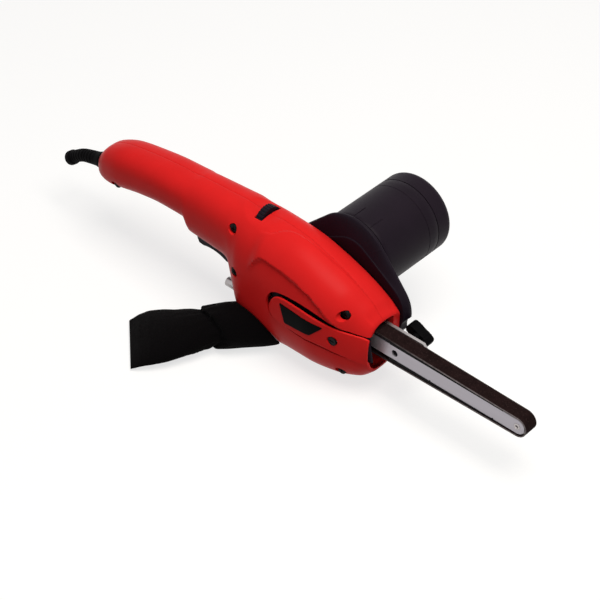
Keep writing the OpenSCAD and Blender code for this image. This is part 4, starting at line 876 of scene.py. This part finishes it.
# The neck ends just off the housing: each line along the bag starts where it comes out of it
around = np.linspace(0, 2 * math.pi, COLUMNS, endpoint=False)
search = np.linspace(-0.18, 0.45, 316)
clear = outside(bag_points(*np.meshgrid(search, around, indexing="ij")), BAG_GAP) > 0
first = search[np.argmax(np.logical_and.accumulate(clear[::-1], axis=0)[::-1], axis=0)]
first = np.maximum(first, np.interp(np.sin(around), [-1, -0.75, -0.4], [0.06, 0, -0.18]))
for _ in range(2):
    first = (np.roll(first, 1) + 2 * first + np.roll(first, -1)) / 4
share = np.linspace(0, 1, ROWS)[:, None]
points = bag_points(first + (1 - first) * share, around + 0 * share).reshape(-1, 3)
faces = grid_faces(ROWS, COLUMNS)
last = (ROWS - 1) * COLUMNS  # the far end is closed by a flat seam
for i in range(COLUMNS // 2):
    faces.append([last + i, last + i + 1, last + (COLUMNS - i - 1) % COLUMNS, last + (COLUMNS - i) % COLUMNS])
bag = piece("dust_bag_cloth", points, faces, "housing", "bag_cloth", ("dust_bag",), angle=60)

# Camera at the photo's angle; the drive pulley lies at pixel 315, 299.5 of 600
CAM_AZIMUTH, CAM_HEIGHT, CAM_ROLL, CAM_FAR = math.radians(41), math.radians(40.5), math.radians(1.5), 1.430
PICTURE, FOCAL = 600, 1866  # width and focal length in pixels
PIXELS_PER_METRE = 1305  # at the drive pulley
PULLEY_RIGHT, PULLEY_UP = 15, 0.5  # pixels from the picture's middle


def camera():
    """Turned about the drive pulley, with its picture's middle beside it."""
    a, e = CAM_AZIMUTH, CAM_HEIGHT
    across = Vector((math.cos(a), math.sin(a), 0))
    up = Vector((-math.sin(a) * math.sin(e), math.cos(a) * math.sin(e), math.cos(e)))
    back = Vector((math.sin(a) * math.cos(e), -math.cos(a) * math.cos(e), math.sin(e)))
    c, s = math.cos(CAM_ROLL), math.sin(CAM_ROLL)
    across, up = across * c + up * s, up * c - across * s
    data = bpy.data.cameras.new("camera")
    data.sensor_width = 36
    data.lens = data.sensor_width * FOCAL / PICTURE
    data.clip_start, data.clip_end = 0.05, 50
    obj = bpy.data.objects.new("camera", data)
    bpy.context.scene.collection.objects.link(obj)
    aside, above = PULLEY_RIGHT / PIXELS_PER_METRE, PULLEY_UP / PIXELS_PER_METRE
    spot = Vector(ORIGIN) - across * aside - up * above + back * CAM_FAR
    obj.matrix_world = Matrix.Translation(spot) @ Matrix((across, up, back)).transposed().to_4x4()
    bpy.context.scene.camera = obj


def light(name, spot, target, size, power, colour):
    """A soft lamp that faces a target."""
    data = bpy.data.lights.new(name, "AREA")
    data.shape = "RECTANGLE"
    data.size, data.size_y = size
    data.energy = power
    data.color = colour
    obj = bpy.data.objects.new(name, data)
    bpy.context.scene.collection.objects.link(obj)
    obj.location = spot
    obj.rotation_mode = "QUATERNION"
    obj.rotation_quaternion = (Vector(target) - Vector(spot)).to_track_quat("-Z", "Y")


def shown_white(tree, links, other, seen):
    """A strength that differs for what the camera, a mirror or glass sees and for the light on the object."""
    rays = add(tree, "ShaderNodeLightPath")
    total = rays.outputs["Is Camera Ray"]
    for kind in ("Is Glossy Ray", "Is Transmission Ray"):
        either = add(tree, "ShaderNodeMath", operation="MAXIMUM")
        links.new(total, either.inputs[0])
        links.new(rays.outputs[kind], either.inputs[1])
        total = either.outputs["Value"]
    level = add(tree, "ShaderNodeMapRange")
    level.inputs["To Min"].default_value = other
    level.inputs["To Max"].default_value = seen
    links.new(total, level.inputs["Value"])
    return level.outputs["Result"]


def level_square(name, half, z):
    """A level square round the origin, in metres."""
    mesh = bpy.data.meshes.new(name)
    mesh.from_pydata([(-half, -half, z), (half, -half, z), (half, half, z), (-half, half, z)], [], [(0, 1, 2, 3)])
    obj = bpy.data.objects.new(name, mesh)
    bpy.context.scene.collection.objects.link(obj)
    return obj


def studio():
    """A floor and a backdrop that show white, a large soft lamp above and a weak one at the right."""
    floor = level_square("floor", 30, -0.0002)
    m, tree, links, bsdf = new_material("floor")
    bsdf.inputs["Base Color"].default_value = (0.34, 0.34, 0.34, 1)
    bsdf.inputs["Roughness"].default_value = 0.9
    bsdf.inputs["Specular IOR Level"].default_value = 0.1
    bsdf.inputs["Emission Color"].default_value = (1, 1, 1, 1)
    links.new(shown_white(tree, links, 0.0, 0.72), bsdf.inputs["Emission Strength"])
    floor.data.materials.append(m)
    world = bpy.data.worlds.new("world")
    bpy.context.scene.world = world
    world.use_nodes = True
    tree, links = world.node_tree.nodes, world.node_tree.links
    sky = tree["Background"]
    sky.inputs["Color"].default_value = (1, 1, 1, 1)
    links.new(shown_white(tree, links, 0.17, 1.0), sky.inputs["Strength"])
    light("key", (0.42, -0.08, 1.45), (0, 0, 0.04), (0.9, 0.9), 19.5, (1, 0.95, 0.88))
    light("fill", (-0.5, -1.1, 0.8), (0, 0, 0.05), (0.9, 0.9), 0.4, (0.9, 0.93, 1))


camera()
studio()
bpy.context.scene.view_settings.view_transform = "Standard"


# Cloth: the bag settles under its own weight, held at the neck
HELD_ROWS = 22


def settle(obj, frames, cap):
    """Runs the cloth for some frames and keeps where it comes to lie, no point moved by more than the cap."""
    ground = level_square("ground", 1, 0.0003)
    ground.modifiers.new("ground", "COLLISION")
    ground.collision.thickness_outer = 0.0006
    start = np.array([v.co for v in obj.data.vertices])
    held = obj.vertex_groups.new(name="held")
    held.add(list(range(COLUMNS * HELD_ROWS)), 1.0, "REPLACE")
    m = obj.modifiers.new("cloth", "CLOTH")
    s = m.settings
    s.quality = 8
    s.mass = 0.12
    s.tension_stiffness = s.compression_stiffness = 25
    s.shear_stiffness = 10
    s.bending_stiffness = 0.6
    s.vertex_group_mass = "held"
    s.use_pressure = True
    s.uniform_pressure_force = 0.25
    m.collision_settings.distance_min = 0.0008
    scene = bpy.context.scene
    for f in range(1, frames + 1):
        scene.frame_set(f)
    shown = bpy.context.evaluated_depsgraph_get()
    e = obj.evaluated_get(shown)
    done = np.array([v.co for v in e.data.vertices])
    obj.modifiers.clear()
    obj.vertex_groups.clear()
    scene.frame_set(1)
    move = done - start
    size = np.linalg.norm(move, axis=1)[:, None]
    done = start + move * np.minimum(1, cap / np.maximum(size, 1e-9))
    done[:, 2] = np.maximum(done[:, 2], 0.0004)  # stays just above the floor
    obj.data.vertices.foreach_set("co", done.astype(np.float32).ravel())
    obj.data.update()
    bpy.data.objects.remove(ground)


settle(bag, frames=20, cap=0.005)
thickness = bag.modifiers.new("thickness", "SOLIDIFY")
thickness.thickness = BAG_WALL * MM
thickness.offset = -1

# CAD pieces that stay: crisp edges with a small bevel
for name, width in (("belt_arm", 0.35), ("arm_carrier", 0.35), ("upper_platen", 0.2), ("lower_platen", 0.2),
                    ("trigger", 0.9), ("speed_dial", 0.25), ("lock_button", 0.6), ("motor_end_cap", 0.25)):
    b = nodes[name].modifiers.new("edge", "BEVEL")
    b.width = width * MM
    b.segments = 2
    b.limit_method = "ANGLE"
    b.angle_limit = math.radians(40)
    b.use_clamp_overlap = True
